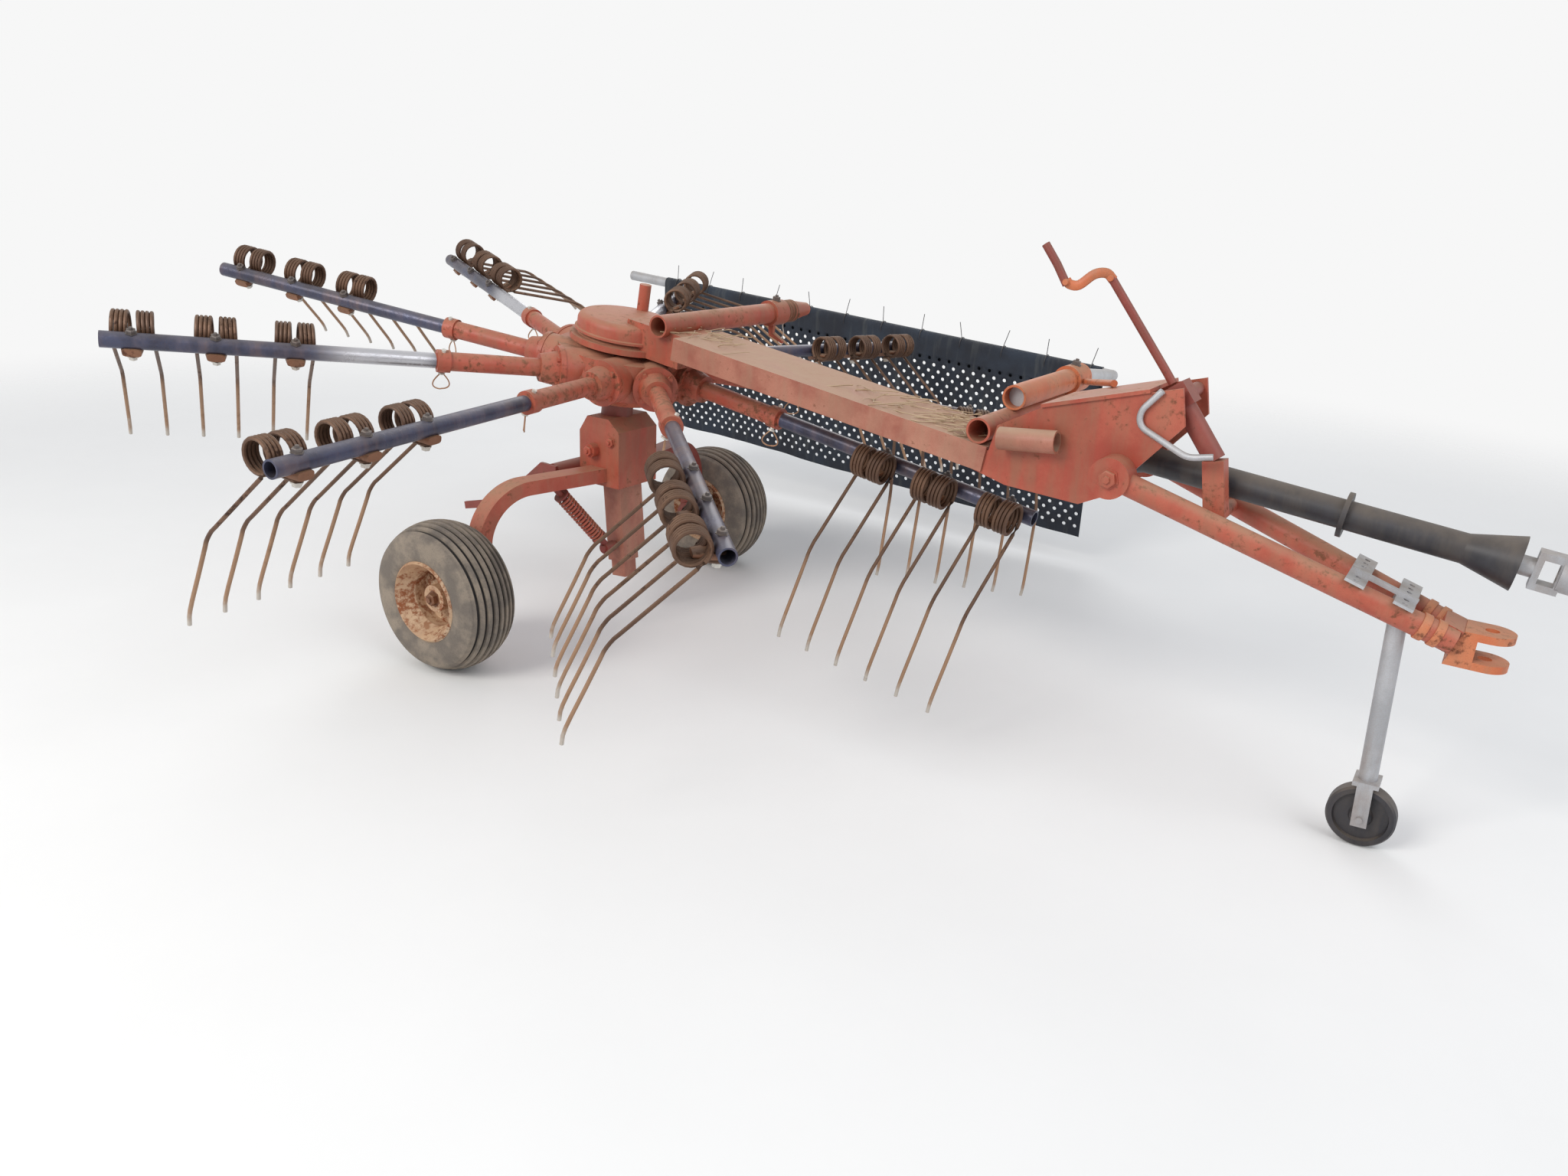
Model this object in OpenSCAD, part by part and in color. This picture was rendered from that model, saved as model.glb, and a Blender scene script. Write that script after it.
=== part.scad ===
/* [Rotor] */
// Number of tine arms round the rotor
arm_count = 9; // [7:1:10]
// Azimuth of the first tine arm, counter-clockwise from straight ahead
rotor_phase = 37; // [0:1:359]
// Height of the arm plane on the rotor's axis
rotor_h = 767; // [750:1:860]
// Slope of the rotor and its beam, front end down
front_tilt = 8.7; // [6:0.1:10]
// Reach of a tine arm from the rotor's axis
arm_r = 1300; // [1150:10:1340]
// Radius at which the black arm tube leaves its red sleeve
joint_r = 530; // [480:10:600]
// How far an arm's axis runs ahead of the rotor's centre
arm_offset = 70; // [50:5:80]
// Outside diameter of a red arm sleeve
sleeve_d = 50; // [46:1:56]
// Outside diameter of a black arm tube
arm_tube_d = 40; // [34:1:44]
// Wall of a black arm tube
arm_wall = 4; // [3:0.5:6]
// Radius of the rotor drum
drum_r = 190; // [175:5:210]
// Height of the rotor drum
drum_h = 104; // [96:2:116]
// Diameter of a bolted arm bearing flange
boss_d = 126; // [116:2:134]

/* [Tines] */
// Double tines on each arm
tine_pairs = 3; // [2:1:4]
// Distance between two tine legs along an arm
tine_pitch = 90; // [80:1:96]
// Diameter of the tine wire
tine_wire = 9.5; // [8:0.5:11]
// Mean radius of a tine coil
coil_r = 37; // [32:1:42]
// Turns of wire in one coil
coil_turns = 4; // [3:1:4]
// Length of a tine leg from its coil to its knee
upper_leg = 235; // [200:5:250]
// Length of a tine leg from its knee to its tip
lower_leg = 255; // [220:5:270]
// Backward slant of the upper leg
upper_slant = 31; // [24:1:38]
// Backward slant of the lower leg
lower_slant = 11; // [6:1:18]
// Most that the cam lifts a tine arm, as a turn about its own axis
lift_max = 42; // [20:1:46]

/* [Chassis] */
// Track between the two wheels
track = 1200; // [1120:10:1260]
// Wheel centres behind the rotor's axis
axle_back = 100; // [60:5:140]
// Outside diameter of a tyre
tyre_d = 410; // [390:5:430]
// Width of a tyre
tyre_w = 165; // [150:5:180]
// Diameter of a wheel rim
rim_d = 206; // [190:2:220]
// Diameter of the wheels' stub axles
axle_d = 30; // [26:1:34]
// Width of the head block under the rotor
block_w = 170; // [150:5:190]
// Width across the square mast tube
mast_w = 64; // [56:2:72]
// Width of the flat-sided wheel arms
wheel_arm_w = 62; // [54:2:68]
// Thickness of the wheel arms
wheel_arm_t = 40; // [34:2:44]
// Outside diameter of the suspension spring
spring_d = 46; // [40:1:52]

/* [Beam and drawbar] */
// Width of the main beam
beam_w = 220; // [190:5:250]
// Depth of the main beam
beam_depth = 60; // [50:2:80]
// Plate thickness of the main beam
beam_t = 6; // [4:1:8]
// Front end of the main beam, ahead of the rotor's axis
beam_front = 1180; // [1150:5:1200]
// Outside diameter of the curtain's cross tubes
cross_d = 60; // [54:1:64]
// Wall of the curtain's cross tubes
cross_wall = 5; // [3:0.5:8]
// Outside diameter of the storage tube beside the frame head
storage_d = 52; // [44:1:56]
// Hitch pin, ahead of the rotor's axis
hitch_x = 2250; // [2220:5:2300]
// Height of the middle of the hitch clevis
hitch_h = 500; // [470:5:520]
// Outside diameter of the drawbar tubes
drawbar_d = 50; // [44:1:54]
// Bore for the hitch pin
hitch_bore = 26; // [20:1:32]
// Diameter of the driveline guard
guard_d = 62; // [56:1:66]
// Diameter of the jack wheel
jack_wheel_d = 140; // [120:5:150]

/* [Curtain] */
// Distance of the swath curtain from the machine's middle
curtain_y = 1485; // [1440:5:1560]
// Length of the swath curtain
curtain_len = 1960; // [1800:20:2000]
// Height of the swath curtain
curtain_h = 580; // [480:10:590]
// Thickness of the curtain cloth
curtain_t = 5; // [4:1:8]

/* [Hidden] */
// Running gap between parts that turn on each other, and the seat gap between parts that rest
gap = 0.3;
eps = 0.01;
arm_step = 360 / arm_count;
tine_arm_names = [for (k = [1:arm_count]) str("tine_arm_", k)];
tine_set_names = [for (k = [1:arm_count]) str("tine_set_", k)];

red = [0.78, 0.33, 0.24];
dusty_red = [0.72, 0.46, 0.38];
dark_red = [0.45, 0.16, 0.14];
black_tube = [0.16, 0.17, 0.24];
tine_brown = [0.55, 0.38, 0.27];
zinc = [0.66, 0.67, 0.69];
tyre_grey = [0.30, 0.29, 0.28];
rim_beige = [0.78, 0.66, 0.52];
guard_black = [0.10, 0.10, 0.12];
curtain_black = [0.08, 0.10, 0.16];
hitch_orange = [0.82, 0.42, 0.16];

// The rotor's axis meets the ground behind and right of the machine's middle
centre_x = 504;
centre_y = 94;
module machine() translate([-centre_x, -centre_y, 0]) children();

// The head's frame: its origin is where the arm plane cuts the rotor's axis
module head() translate([0, 0, rotor_h]) rotate([0, front_tilt, 0]) children();

// Where a point of the head's frame lies on the standing machine
function head_point(p) = [
    p[0] * cos(front_tilt) + p[2] * sin(front_tilt),
    p[1],
    p[2] * cos(front_tilt) - p[0] * sin(front_tilt) + rotor_h];

// Turns +Z towards v
module aim(v) {
    flat = norm([v[0], v[1]]);
    rotate([0, atan2(flat, v[2]), flat < eps ? 0 : atan2(v[1], v[0])]) children();
}

// A round bar from p to q
module bar(p, q, d, facets = 32)
    translate(p) aim(q - p) cylinder(d = d, h = norm(q - p), $fn = facets);

// A hollow tube from p to q, open at both ends
module pipe(p, q, d, wall)
    difference() {
        bar(p, q, d);
        translate(p) aim(q - p) translate([0, 0, -1])
            cylinder(d = d - 2 * wall, h = norm(q - p) + 2, $fn = 32);
    }

// A rod bent through a list of points, with round corners
module bent_rod(points, d) {
    for (i = [0:len(points) - 2])
        bar(points[i], points[i + 1], d);
    for (i = [1:len(points) - 2])
        translate(points[i]) sphere(d = d + 0.4, $fn = 24);
}

// A flat plate in the XZ plane from its outline, centred on y
module side_plate(outline, y, t)
    translate([0, y + t / 2, 0]) rotate([90, 0, 0]) linear_extrude(t) polygon(outline);

// Rotor

function arm_azimuth(k) = rotor_phase + (k - 1) * arm_step;

// The cam track: tine arms rise past the left side, stay up to the rear left and come down behind
rise_start = 45;
rise_end = 110;
fall_start = 165;
fall_end = 275;
function cam_lift(azimuth) =
    let (a = azimuth % 360)
    a < rise_start ? 0
    : a < rise_end ? lift_max * (a - rise_start) / (rise_end - rise_start)
    : a < fall_start ? lift_max
    : a < fall_end ? lift_max * (fall_end - a) / (fall_end - fall_start)
    : 0;

// The arm's frame: +X outwards along the arm, +Y ahead in the sense of rotation
module arm_frame(k) head() rotate([0, 0, arm_azimuth(k)]) translate([0, arm_offset, 0]) children();

hub_bore_d = 92;
neck_d = hub_bore_d - 2 * gap;
bell_r = 120;
bell_h = 34;
boss_t = 14;
boss_at = drum_r + 6;
bearing_d = 84;
bearing_end = boss_at + 62;
sleeve_ring_d = sleeve_d + 10;
flange_bolt_d = 16;

module rotor_hub() {
    color(red) machine() head() difference() {
        union() {
            translate([0, 0, -drum_h / 2]) cylinder(r = drum_r, h = drum_h, $fn = 96);
            translate([0, 0, -drum_h / 2 - bell_h])
                cylinder(r1 = bell_r, r2 = drum_r - 18, h = bell_h, $fn = 96);
            for (k = [1:arm_count])
                rotate([0, 0, arm_azimuth(k)]) translate([60, arm_offset, 0]) rotate([0, 90, 0])
                    cylinder(d = boss_d - 4, h = boss_at - 60, $fn = 48);
        }
        translate([0, 0, -drum_h]) cylinder(d = hub_bore_d, h = 2 * drum_h, $fn = 64);
    }
}

module tine_arm(k) {
    machine() arm_frame(k) {
        color(red) {
            translate([boss_at, 0, 0]) rotate([0, 90, 0]) cylinder(d = boss_d, h = boss_t, $fn = 48);
            translate([boss_at + boss_t - eps, 0, 0]) rotate([0, 90, 0])
                cylinder(d1 = bearing_d + 12, d2 = bearing_d - 8, h = bearing_end - boss_at - boss_t, $fn = 48);
            for (a = [45:90:315])
                rotate([a, 0, 0]) translate([boss_at + boss_t - 1, 0, boss_d / 2 - 14]) rotate([0, 90, 0])
                    cylinder(d = flange_bolt_d, h = 9, $fn = 6);
            translate([bearing_end - 4, 0, 0]) rotate([0, 90, 0])
                cylinder(d = sleeve_d, h = joint_r - bearing_end + 4, $fn = 40);
            translate([joint_r - 34, 0, 0]) rotate([0, 90, 0])
                cylinder(d = sleeve_ring_d, h = 34, $fn = 40);
        }
        color(black_tube) difference() {
            translate([joint_r - 10, 0, 0]) rotate([0, 90, 0])
                cylinder(d = arm_tube_d, h = arm_r - joint_r + 10, $fn = 40);
            translate([joint_r + 40, 0, 0]) rotate([0, 90, 0])
                cylinder(d = arm_tube_d - 2 * arm_wall, h = arm_r, $fn = 40);
        }
    }
}

coil_pitch = tine_wire;
coil_wire = tine_wire + 0.4;
coil_len = (coil_turns - 1) * coil_pitch;
coil_gap = 3;
coil_back = arm_tube_d / 2 + coil_gap + coil_r + coil_wire / 2;
tine_end_margin = 22;
clamp_w = 34;
clamp_t = 7;
clamp_fit = 0.2;

function pair_middle(j) = arm_r - tine_end_margin - tine_pitch / 2 - 2 * tine_pitch * j;

// Half section of a coil: one rib for each turn outside, plain inside
coil_rib = 2.5;
coil_inner = coil_r - coil_wire / 2;
coil_outer = coil_r + coil_wire / 2;
coil_end = coil_wire / 2 + 0.4;
coil_section = concat(
    [[coil_outer - coil_rib, -coil_end]],
    [for (i = [0:coil_turns - 2], c = [[0, 0], [0.5, coil_rib]])
        [coil_outer - c[1], (i + c[0]) * coil_pitch]],
    [[coil_outer, coil_len], [coil_outer - coil_rib, coil_len + coil_end],
        [coil_inner, coil_len + coil_end], [coil_inner, -coil_end]]);

// A tine leg leaves the back of its coil and bends once, at its knee
module leg(slant, d, h) rotate([180 - slant, 0, 0]) cylinder(d = d, h = h, $fn = 20);

// One spring coil and its leg; side is 1 at the pair's outer end and -1 at its inner end
module tine(side) {
    translate([side * tine_pitch / 2, -coil_back, 0]) {
        translate([side > 0 ? -coil_len : 0, 0, 0]) rotate([0, 90, 0])
            rotate_extrude($fn = 40) polygon(coil_section);
        translate([0, -coil_r, 0]) {
            leg(upper_slant, tine_wire, upper_leg);
            rotate([-upper_slant, 0, 0]) translate([0, 0, -upper_leg]) rotate([upper_slant, 0, 0]) {
                sphere(d = tine_wire + 0.6, $fn = 24);
                leg(lower_slant, tine_wire - 0.3, lower_leg);
            }
        }
    }
}

// The double tines of one arm, turned about the arm by its cam
module tine_set(k) {
    color(tine_brown) machine() arm_frame(k) rotate([-cam_lift(arm_azimuth(k)), 0, 0])
        for (j = [0:tine_pairs - 1])
            translate([pair_middle(j), 0, 0]) {
                tine(1);
                tine(-1);
                // The wire's bridge between the two coils, under the clamp
                inner = tine_pitch / 2 - coil_len;
                translate([-inner, coil_r - coil_back, 0]) rotate([0, 90, 0])
                    cylinder(d = tine_wire - 0.4, h = 2 * inner, $fn = 20);
                tine_clamp();
            }
}

module tine_clamp() {
    bore = arm_tube_d / 2 + clamp_fit;
    difference() {
        translate([-clamp_w / 2, coil_r - coil_back - tine_wire / 2 - 3, -bore - clamp_t])
            cube([clamp_w, bore + clamp_t + coil_back - coil_r + tine_wire / 2 + 3, 2 * (bore + clamp_t)]);
        translate([-clamp_w, 0, 0]) rotate([0, 90, 0]) cylinder(r = bore, h = 2 * clamp_w, $fn = 40);
    }
    translate([0, 0, bore + clamp_t - eps]) cylinder(d = 18, h = 8, $fn = 6);
}

// Hub cover, which stands still over the turning drum and carries the beam on its neck block

cover_r = 158;
cover_gap = 7;
cover_bottom = boss_d / 2 + cover_gap;
cover_h = 16;
dome_h = 11;
cover_top = cover_bottom + cover_h + dome_h;
neck_block_w = 150;
neck_block_front = 250;
beam_bottom = cover_top + 3;
beam_top = beam_bottom + beam_depth;
rear_cross_x = 186;
rear_cross_z = beam_top + cross_d / 2 - 17;
post_x = -33;
post_y = 100;
post_d = 34;
post_h = 125;

module hub_cover() {
    color(red) machine() head() difference() {
        union() {
            translate([0, 0, cover_bottom]) cylinder(r = cover_r, h = cover_h, $fn = 96);
            translate([0, 0, cover_bottom + cover_h - eps])
                cylinder(r1 = cover_r - 20, r2 = cover_r - 36, h = dome_h + eps, $fn = 96);
            translate([60, -neck_block_w / 2, cover_bottom])
                cube([neck_block_front - 60, neck_block_w, beam_top - cover_bottom]);
            translate([post_x, post_y, cover_top - 1]) cylinder(d = post_d, h = post_h + 1, $fn = 40);
        }
        translate([rear_cross_x, -neck_block_w, rear_cross_z]) rotate([-90, 0, 0])
            cylinder(d = cross_d + 2 * gap, h = 2 * neck_block_w, $fn = 48);
    }
}

// Mast neck, on which the rotor turns, and the head block that stands square on the ground

neck_bottom = -185;
module mast_neck() {
    color(dark_red) machine() head() translate([0, 0, neck_bottom])
        cylinder(d = neck_d, h = cover_bottom - neck_bottom, $fn = 64);
}

block_d = 150;
block_x = -15;
block_bottom = 425;
block_top = 625;
block_pin_d = 40;
module mast_head() {
    color(red) machine() difference() {
        translate([block_x, 0, 0]) {
            side_plate([
                [-block_d / 2, block_bottom], [block_d / 2, block_bottom],
                [block_d / 2, block_top - 34], [block_d / 2 - 40, block_top],
                [-block_d / 2 + 30, block_top], [-block_d / 2, block_top - 46]], 0, block_w);
            translate([-18, -block_w / 2 - 24, block_top - 96]) rotate([-90, 0, 0])
                cylinder(d = block_pin_d, h = block_w + 48, $fn = 40);
        }
        head() translate([0, 0, neck_bottom]) cylinder(d = neck_d + 2 * gap, h = 400, $fn = 64);
    }
}

mast_bottom = 130;
mast_lean = 5;
mast_wall = 6;
inner_mast_w = mast_w - 2 * mast_wall - 2 * gap;
// Square tube under the block, with the inner stand tube that slides in it and a second tube beside it
module mast() {
    drop = block_bottom - mast_bottom;
    color(dusty_red) machine() difference() {
        translate([block_x, 0, block_bottom]) rotate([0, 180 - mast_lean, 0]) {
            difference() {
                translate([-mast_w / 2, -mast_w / 2, -10]) cube([mast_w, mast_w, drop - 40]);
                translate([-mast_w / 2 + mast_wall, -mast_w / 2 + mast_wall, drop - 110])
                    cube([mast_w - 2 * mast_wall, mast_w - 2 * mast_wall, drop]);
            }
            translate([-inner_mast_w / 2, -inner_mast_w / 2, drop - 120]) cube([inner_mast_w, inner_mast_w, 120]);
            translate([-mast_w / 2 + 8, mast_w / 2 - eps, -10]) cube([mast_w - 16, 44, drop - 70]);
        }
        translate([block_x - block_d, -block_w, block_bottom - gap]) cube([2 * block_d, 2 * block_w, 60]);
    }
}

// Wheel arms

wheel_z = tyre_d / 2;
wheel_y = track / 2;
boss_clear = 22;
arm_y = wheel_y - tyre_w / 2 - wheel_arm_t / 2 - boss_clear;
arm_top_z = block_bottom + 34;
arm_bend_r = 150;
arm_sweep = atan(axle_back / arm_y);
arm_reach = arm_y / cos(arm_sweep);
hub_inner = 58;
hub_outer = 42;
shoulder_gap = 5;
shoulder_d = axle_d + 14;

// Flat-sided arm from the head block out over and down to a stub axle; side is -1 right, 1 left
module wheel_arm(side) {
    reach = arm_reach - arm_bend_r;
    difference() {
        union() {
            rotate([0, 0, side * (90 + arm_sweep)]) {
                // level run
                translate([20, -wheel_arm_w / 2, arm_top_z - wheel_arm_t / 2])
                    cube([reach - 20, wheel_arm_w, wheel_arm_t]);
                // quarter bend down
                translate([reach, 0, arm_top_z - arm_bend_r]) rotate([90, 0, 0])
                    rotate_extrude(angle = 90, $fn = 64)
                        translate([arm_bend_r - wheel_arm_t / 2, -wheel_arm_w / 2])
                            square([wheel_arm_t, wheel_arm_w]);
                // leg down to the hub
                translate([arm_reach - wheel_arm_t / 2, -wheel_arm_w / 2, wheel_z - 6])
                    cube([wheel_arm_t, wheel_arm_w, arm_top_z - arm_bend_r - wheel_z + 6]);
            }
            translate([-axle_back, side * arm_y, wheel_z]) rotate([-side * 90, 0, 0]) {
                translate([0, 0, -wheel_arm_t / 2 - 8])
                    cylinder(d = wheel_arm_w + 12, h = wheel_arm_t + 12, $fn = 48);
                cylinder(d = shoulder_d, h = wheel_y - hub_inner - shoulder_gap - arm_y, $fn = 40);
                cylinder(d = axle_d, h = wheel_y + hub_outer - 12 - arm_y, $fn = 40);
            }
        }
        translate([-block_d, -block_w / 2 - gap, 0]) cube([2 * block_d, block_w + 2 * gap, rotor_h]);
    }
}

module right_wheel_arm() color(red) machine() wheel_arm(-1);
module left_wheel_arm() color(dark_red) machine() wheel_arm(1);

axle_tube_d = 54;
axle_tube_x = block_x - block_d / 2 - axle_tube_d / 2 - gap;
axle_tube_near = -170;
module axle_tube() {
    color(dark_red) machine()
        pipe([axle_tube_x, axle_tube_near, arm_top_z], [axle_tube_x, 230, arm_top_z], axle_tube_d, 6);
}

guard_bar_t = 10;
module guard_bar() {
    color(dark_red) machine() translate([axle_tube_x, 0, arm_top_z]) {
        side_plate([
            [20, -22], [-30, -24], [-112, -82], [-180, -136], [-368, -180], [-372, -158],
            [-192, -112], [-130, -50], [-40, 26], [20, 24]],
            axle_tube_near - gap - guard_bar_t / 2, guard_bar_t);
    }
}

spring_wire = 9;
spring_rod_d = 20;
spring_pin_d = 26;
// Coil spring from under the right wheel arm to a pin low on the mast
module suspension_spring() {
    top_y = -235;
    top = [-sin(arm_sweep) * 235, top_y, arm_top_z - wheel_arm_t / 2 - gap];
    foot_z = 232;
    foot = [block_x + (block_bottom - foot_z) * tan(mast_lean), -mast_w / 2 - 34, foot_z];
    axis = foot - top;
    run = norm(axis);
    turns = floor(run * 0.62 / spring_wire);
    start = run * 0.16;
    color(tine_brown) machine() {
        difference() {
            translate(top) aim(axis) {
                translate([0, 0, -30]) cylinder(d = spring_rod_d, h = run + 30, $fn = 32);
                rotate_extrude($fn = 40) polygon(concat(
                    [[0, start]],
                    [for (i = [0:turns - 1], c = [[-3, 0], [0, 0.2], [0, 0.6], [-3, 0.8]])
                        [spring_d / 2 + c[0], start + (i + c[1]) * spring_wire]],
                    [[0, start + (turns - 0.2) * spring_wire]]));
            }
            translate([top[0] - 100, top[1] - 100, top[2]]) cube([200, 200, 80]);
        }
        bar([foot[0], -mast_w / 2 - gap, foot_z], [foot[0], foot[1] - 24, foot_z], spring_pin_d);
    }
}

// Wheels

module tyre(y) {
    color(tyre_grey) machine() translate([-axle_back, y, wheel_z]) rotate([90, 0, 0])
        rotate_extrude($fn = 96) difference() {
            polygon([
                [rim_d / 2, -tyre_w / 2 + 24], [rim_d / 2 + 14, -tyre_w / 2 + 4],
                [rim_d / 2 + 46, -tyre_w / 2], [tyre_d / 2 - 22, -tyre_w / 2 + 9],
                [tyre_d / 2 - 6, -tyre_w / 2 + 24], [tyre_d / 2, -tyre_w / 2 + 48],
                [tyre_d / 2, tyre_w / 2 - 48], [tyre_d / 2 - 6, tyre_w / 2 - 24],
                [tyre_d / 2 - 22, tyre_w / 2 - 9], [rim_d / 2 + 46, tyre_w / 2],
                [rim_d / 2 + 14, tyre_w / 2 - 4], [rim_d / 2, tyre_w / 2 - 24]]);
            for (i = [-2:2])
                translate([tyre_d / 2 - 5, i * 21 - 3]) square([10, 6]);
        }
}

hub_d = 74;
rim_fit = 0.2;
// A deep dished rim; side is -1 right, 1 left
module rim(y, side) {
    color(rim_beige) machine() translate([-axle_back, y, wheel_z]) rotate([side * 90, 0, 0]) difference() {
        union() {
            rotate_extrude($fn = 96) polygon([
                [rim_d / 2 - rim_fit, -tyre_w / 2 + 23], [rim_d / 2 - rim_fit, tyre_w / 2 - 23],
                [rim_d / 2 + 8, tyre_w / 2 - 5], [rim_d / 2 + 2, tyre_w / 2 + 1],
                [rim_d / 2 - 8, tyre_w / 2 - 14], [rim_d / 2 - 26, tyre_w / 2 - 44],
                [rim_d / 2 - 26, -tyre_w / 2 + 44], [rim_d / 2 - 8, -tyre_w / 2 + 14],
                [rim_d / 2 + 2, -tyre_w / 2 - 1], [rim_d / 2 + 8, -tyre_w / 2 + 5]]);
            translate([0, 0, -5]) cylinder(r = rim_d / 2 - 20, h = 10, $fn = 64);
            translate([0, 0, -hub_outer]) cylinder(d = hub_d, h = hub_inner + hub_outer, $fn = 48);
        }
        translate([0, 0, -100]) cylinder(d = axle_d + 2 * gap, h = 200, $fn = 48);
    }
}

// Beam and cross tubes, all in the head's frame

end_plate_t = 10;
module main_beam() {
    rear = neck_block_front + gap;
    color(dusty_red) machine() head() difference() {
        translate([rear, -beam_w / 2, beam_bottom]) cube([beam_front - rear, beam_w, beam_depth]);
        translate([rear + end_plate_t, -beam_w / 2 + beam_t, beam_bottom - 1])
            cube([beam_front, beam_w - 2 * beam_t, beam_depth - beam_t + 1]);
    }
}

collar_d = cross_d + 16;
rear_cross_near = -100;
rear_cross_far = 430;
// Rear cross tube with its latch collar, a stiff spring and a tapered end
module rear_cross_tube() {
    at = [rear_cross_x, 0, rear_cross_z];
    color(red) machine() head() {
        pipe(at + [0, rear_cross_near, 0], at + [0, rear_cross_far, 0], cross_d, cross_wall);
        translate(at + [0, rear_cross_far - eps, 0]) rotate([-90, 0, 0]) rotate_extrude($fn = 48) polygon([
            [0, -30], [cross_d / 2 - 1, -30], [cross_d / 2 - 1, 0], [collar_d / 2, 0], [collar_d / 2, 70],
            [29, 72], [29, 82], [33, 82], [33, 88], [29, 88], [29, 98], [33, 98], [33, 104],
            [29, 104], [29, 114], [33, 114], [33, 120], [29, 120], [29, 130], [31, 130],
            [20, 215], [0, 215]]);
        side_plate([
            [at[0] - 8, at[2] - collar_d / 2 + 4], [at[0] + 12, at[2] - collar_d / 2 + 4],
            [at[0] + 14, at[2] - collar_d / 2 - 22], [at[0] + 52, at[2] - collar_d / 2 - 36],
            [at[0] + 52, at[2] - collar_d / 2 - 44], [at[0] + 2, at[2] - collar_d / 2 - 32]],
            rear_cross_far + 30, 12);
    }
}

front_cross_x = 1150;
front_cross_z = beam_top + cross_d / 2 + gap;
cross_near = -110;
front_cross_far = 400;
module front_cross_tube() {
    color(red) machine() head()
        pipe([front_cross_x, cross_near, front_cross_z], [front_cross_x, front_cross_far, front_cross_z],
             cross_d, cross_wall);
}

// Holder tube that lies on the front cross tube and clamps the curtain's rail in its collar
holder_x = front_cross_x + 6;
holder_z = front_cross_z + sqrt(pow(cross_d + gap, 2) - 36);
holder_near = 50;
holder_far = 430;
holder_collar = 70;
rail_d = 40;
rail_ring_d = cross_d - 2 * cross_wall - 2 * gap;
brace_d = 16;
module curtain_holder() {
    at = [holder_x, 0, holder_z];
    color(hitch_orange) machine() head() {
        pipe(at + [0, holder_near, 0], at + [0, holder_far, 0], cross_d, cross_wall);
        difference() {
            translate(at + [0, holder_far - 20, 0]) rotate([-90, 0, 0])
                cylinder(d = collar_d, h = holder_collar + 20, $fn = 48);
            translate(at + [0, holder_near, 0]) rotate([-90, 0, 0])
                cylinder(d = rail_d + 2 * gap, h = holder_far + holder_collar, $fn = 48);
        }
        // brace to the top of the frame head
        bar(at + [collar_d / 2 - 6, holder_far + 30, 0], brace_foot, brace_d);
    }
}

// Frame head: two side plates that rise from inside the beam, joined by a top plate and a bulkhead

plate_t = 10;
plate_y = beam_w / 2 - beam_t - gap - plate_t / 2;
top_rear = [1280, 286];
top_front = [1500, 386];
top_t = 8;
pivot_x = 1482;
pivot_z = 197;
pivot_d = 34;
top_slope = atan2(top_front[1] - top_rear[1], top_front[0] - top_rear[0]);
// The brace comes down towards the top plate's left edge, so its foot stands a little higher
brace_rise = 1.4;
brace_foot = [1372, 70, top_rear[1] + (1372 - top_rear[0]) * tan(top_slope)
    + (top_t + brace_d / 2 + gap + brace_rise) / cos(top_slope)];
bulkhead_x = 1388;
shaft_d = 35;

// The driveline's axis, from the shaft stub on the bulkhead to the yoke
guard_y = 28;
guard_rear = [1440, guard_y, 762];
guard_front = [2262, guard_y, 674];
guard_axis = (guard_front - guard_rear) / norm(guard_front - guard_rear);

module frame_head() {
    in_beam = beam_front - 80;
    color(red) machine() difference() {
        union() {
            head() {
                for (s = [-1, 1])
                    side_plate([
                        [in_beam, beam_bottom + 4], [in_beam, beam_top - beam_t - 1],
                        [beam_front + 4, beam_top - beam_t - 1], [beam_front + 10, beam_top + 56],
                        top_rear, [1560, top_front[1] + 60 * tan(top_slope)], [1588, 338],
                        [pivot_x + 33, pivot_z + 18], [pivot_x + 23, pivot_z - 32],
                        [1420, 104], [1244, 88]],
                        s * plate_y, plate_t);
                translate([top_rear[0], -beam_w / 2, top_rear[1]]) rotate([0, -top_slope, 0])
                    cube([norm(top_front - top_rear), beam_w, top_t]);
                translate([bulkhead_x, -plate_y, 150]) cube([12, 2 * plate_y, 150]);
            }
            bar(guard_rear - guard_axis * 34, guard_rear + guard_axis * 60, shaft_d);
        }
        head() translate([pivot_x, -beam_w, pivot_z]) rotate([-90, 0, 0])
            cylinder(d = pivot_d + 2 * gap, h = 2 * beam_w, $fn = 48);
    }
}

// Tube beside the frame head in which a spare part is stowed
storage_len = 135;
storage_wall = 5;
module storage_tube() {
    start = [1212, -plate_y - plate_t / 2 - gap - storage_d / 2, 196];
    color(dusty_red) machine() head()
        pipe(start, start + [storage_len * cos(14), 0, storage_len * sin(14)], storage_d, storage_wall);
}

// Drawbar: two tubes that meet at the hitch

pivot_at = head_point([pivot_x, 0, pivot_z]);
pivot_half = beam_w / 2 + 26;
drawbar_end_y = 44;
drawbar_end = [hitch_x - 60, 0, hitch_h + 13];
pivot_boss_d = 90;
drawbar_run = drawbar_end - pivot_at;
drawbar_slope = atan2(pivot_at[2] - drawbar_end[2], drawbar_run[0]);
drawbar_len = norm(drawbar_run);
// Half the drawbar's width and its height at a distance ahead of the pivot, along the drawbar
function drawbar_half(s) = pivot_half + (drawbar_end_y - pivot_half) * s / drawbar_len;
module drawbar_frame() translate(pivot_at) rotate([0, drawbar_slope, 0]) children();

nut_s = 221;
nut_y = -50;
nut_w = 44;
nut_top = [1682, nut_y, 793];
nut_foot = pivot_at + [nut_s * cos(drawbar_slope), nut_y, -nut_s * sin(drawbar_slope)];
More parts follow.
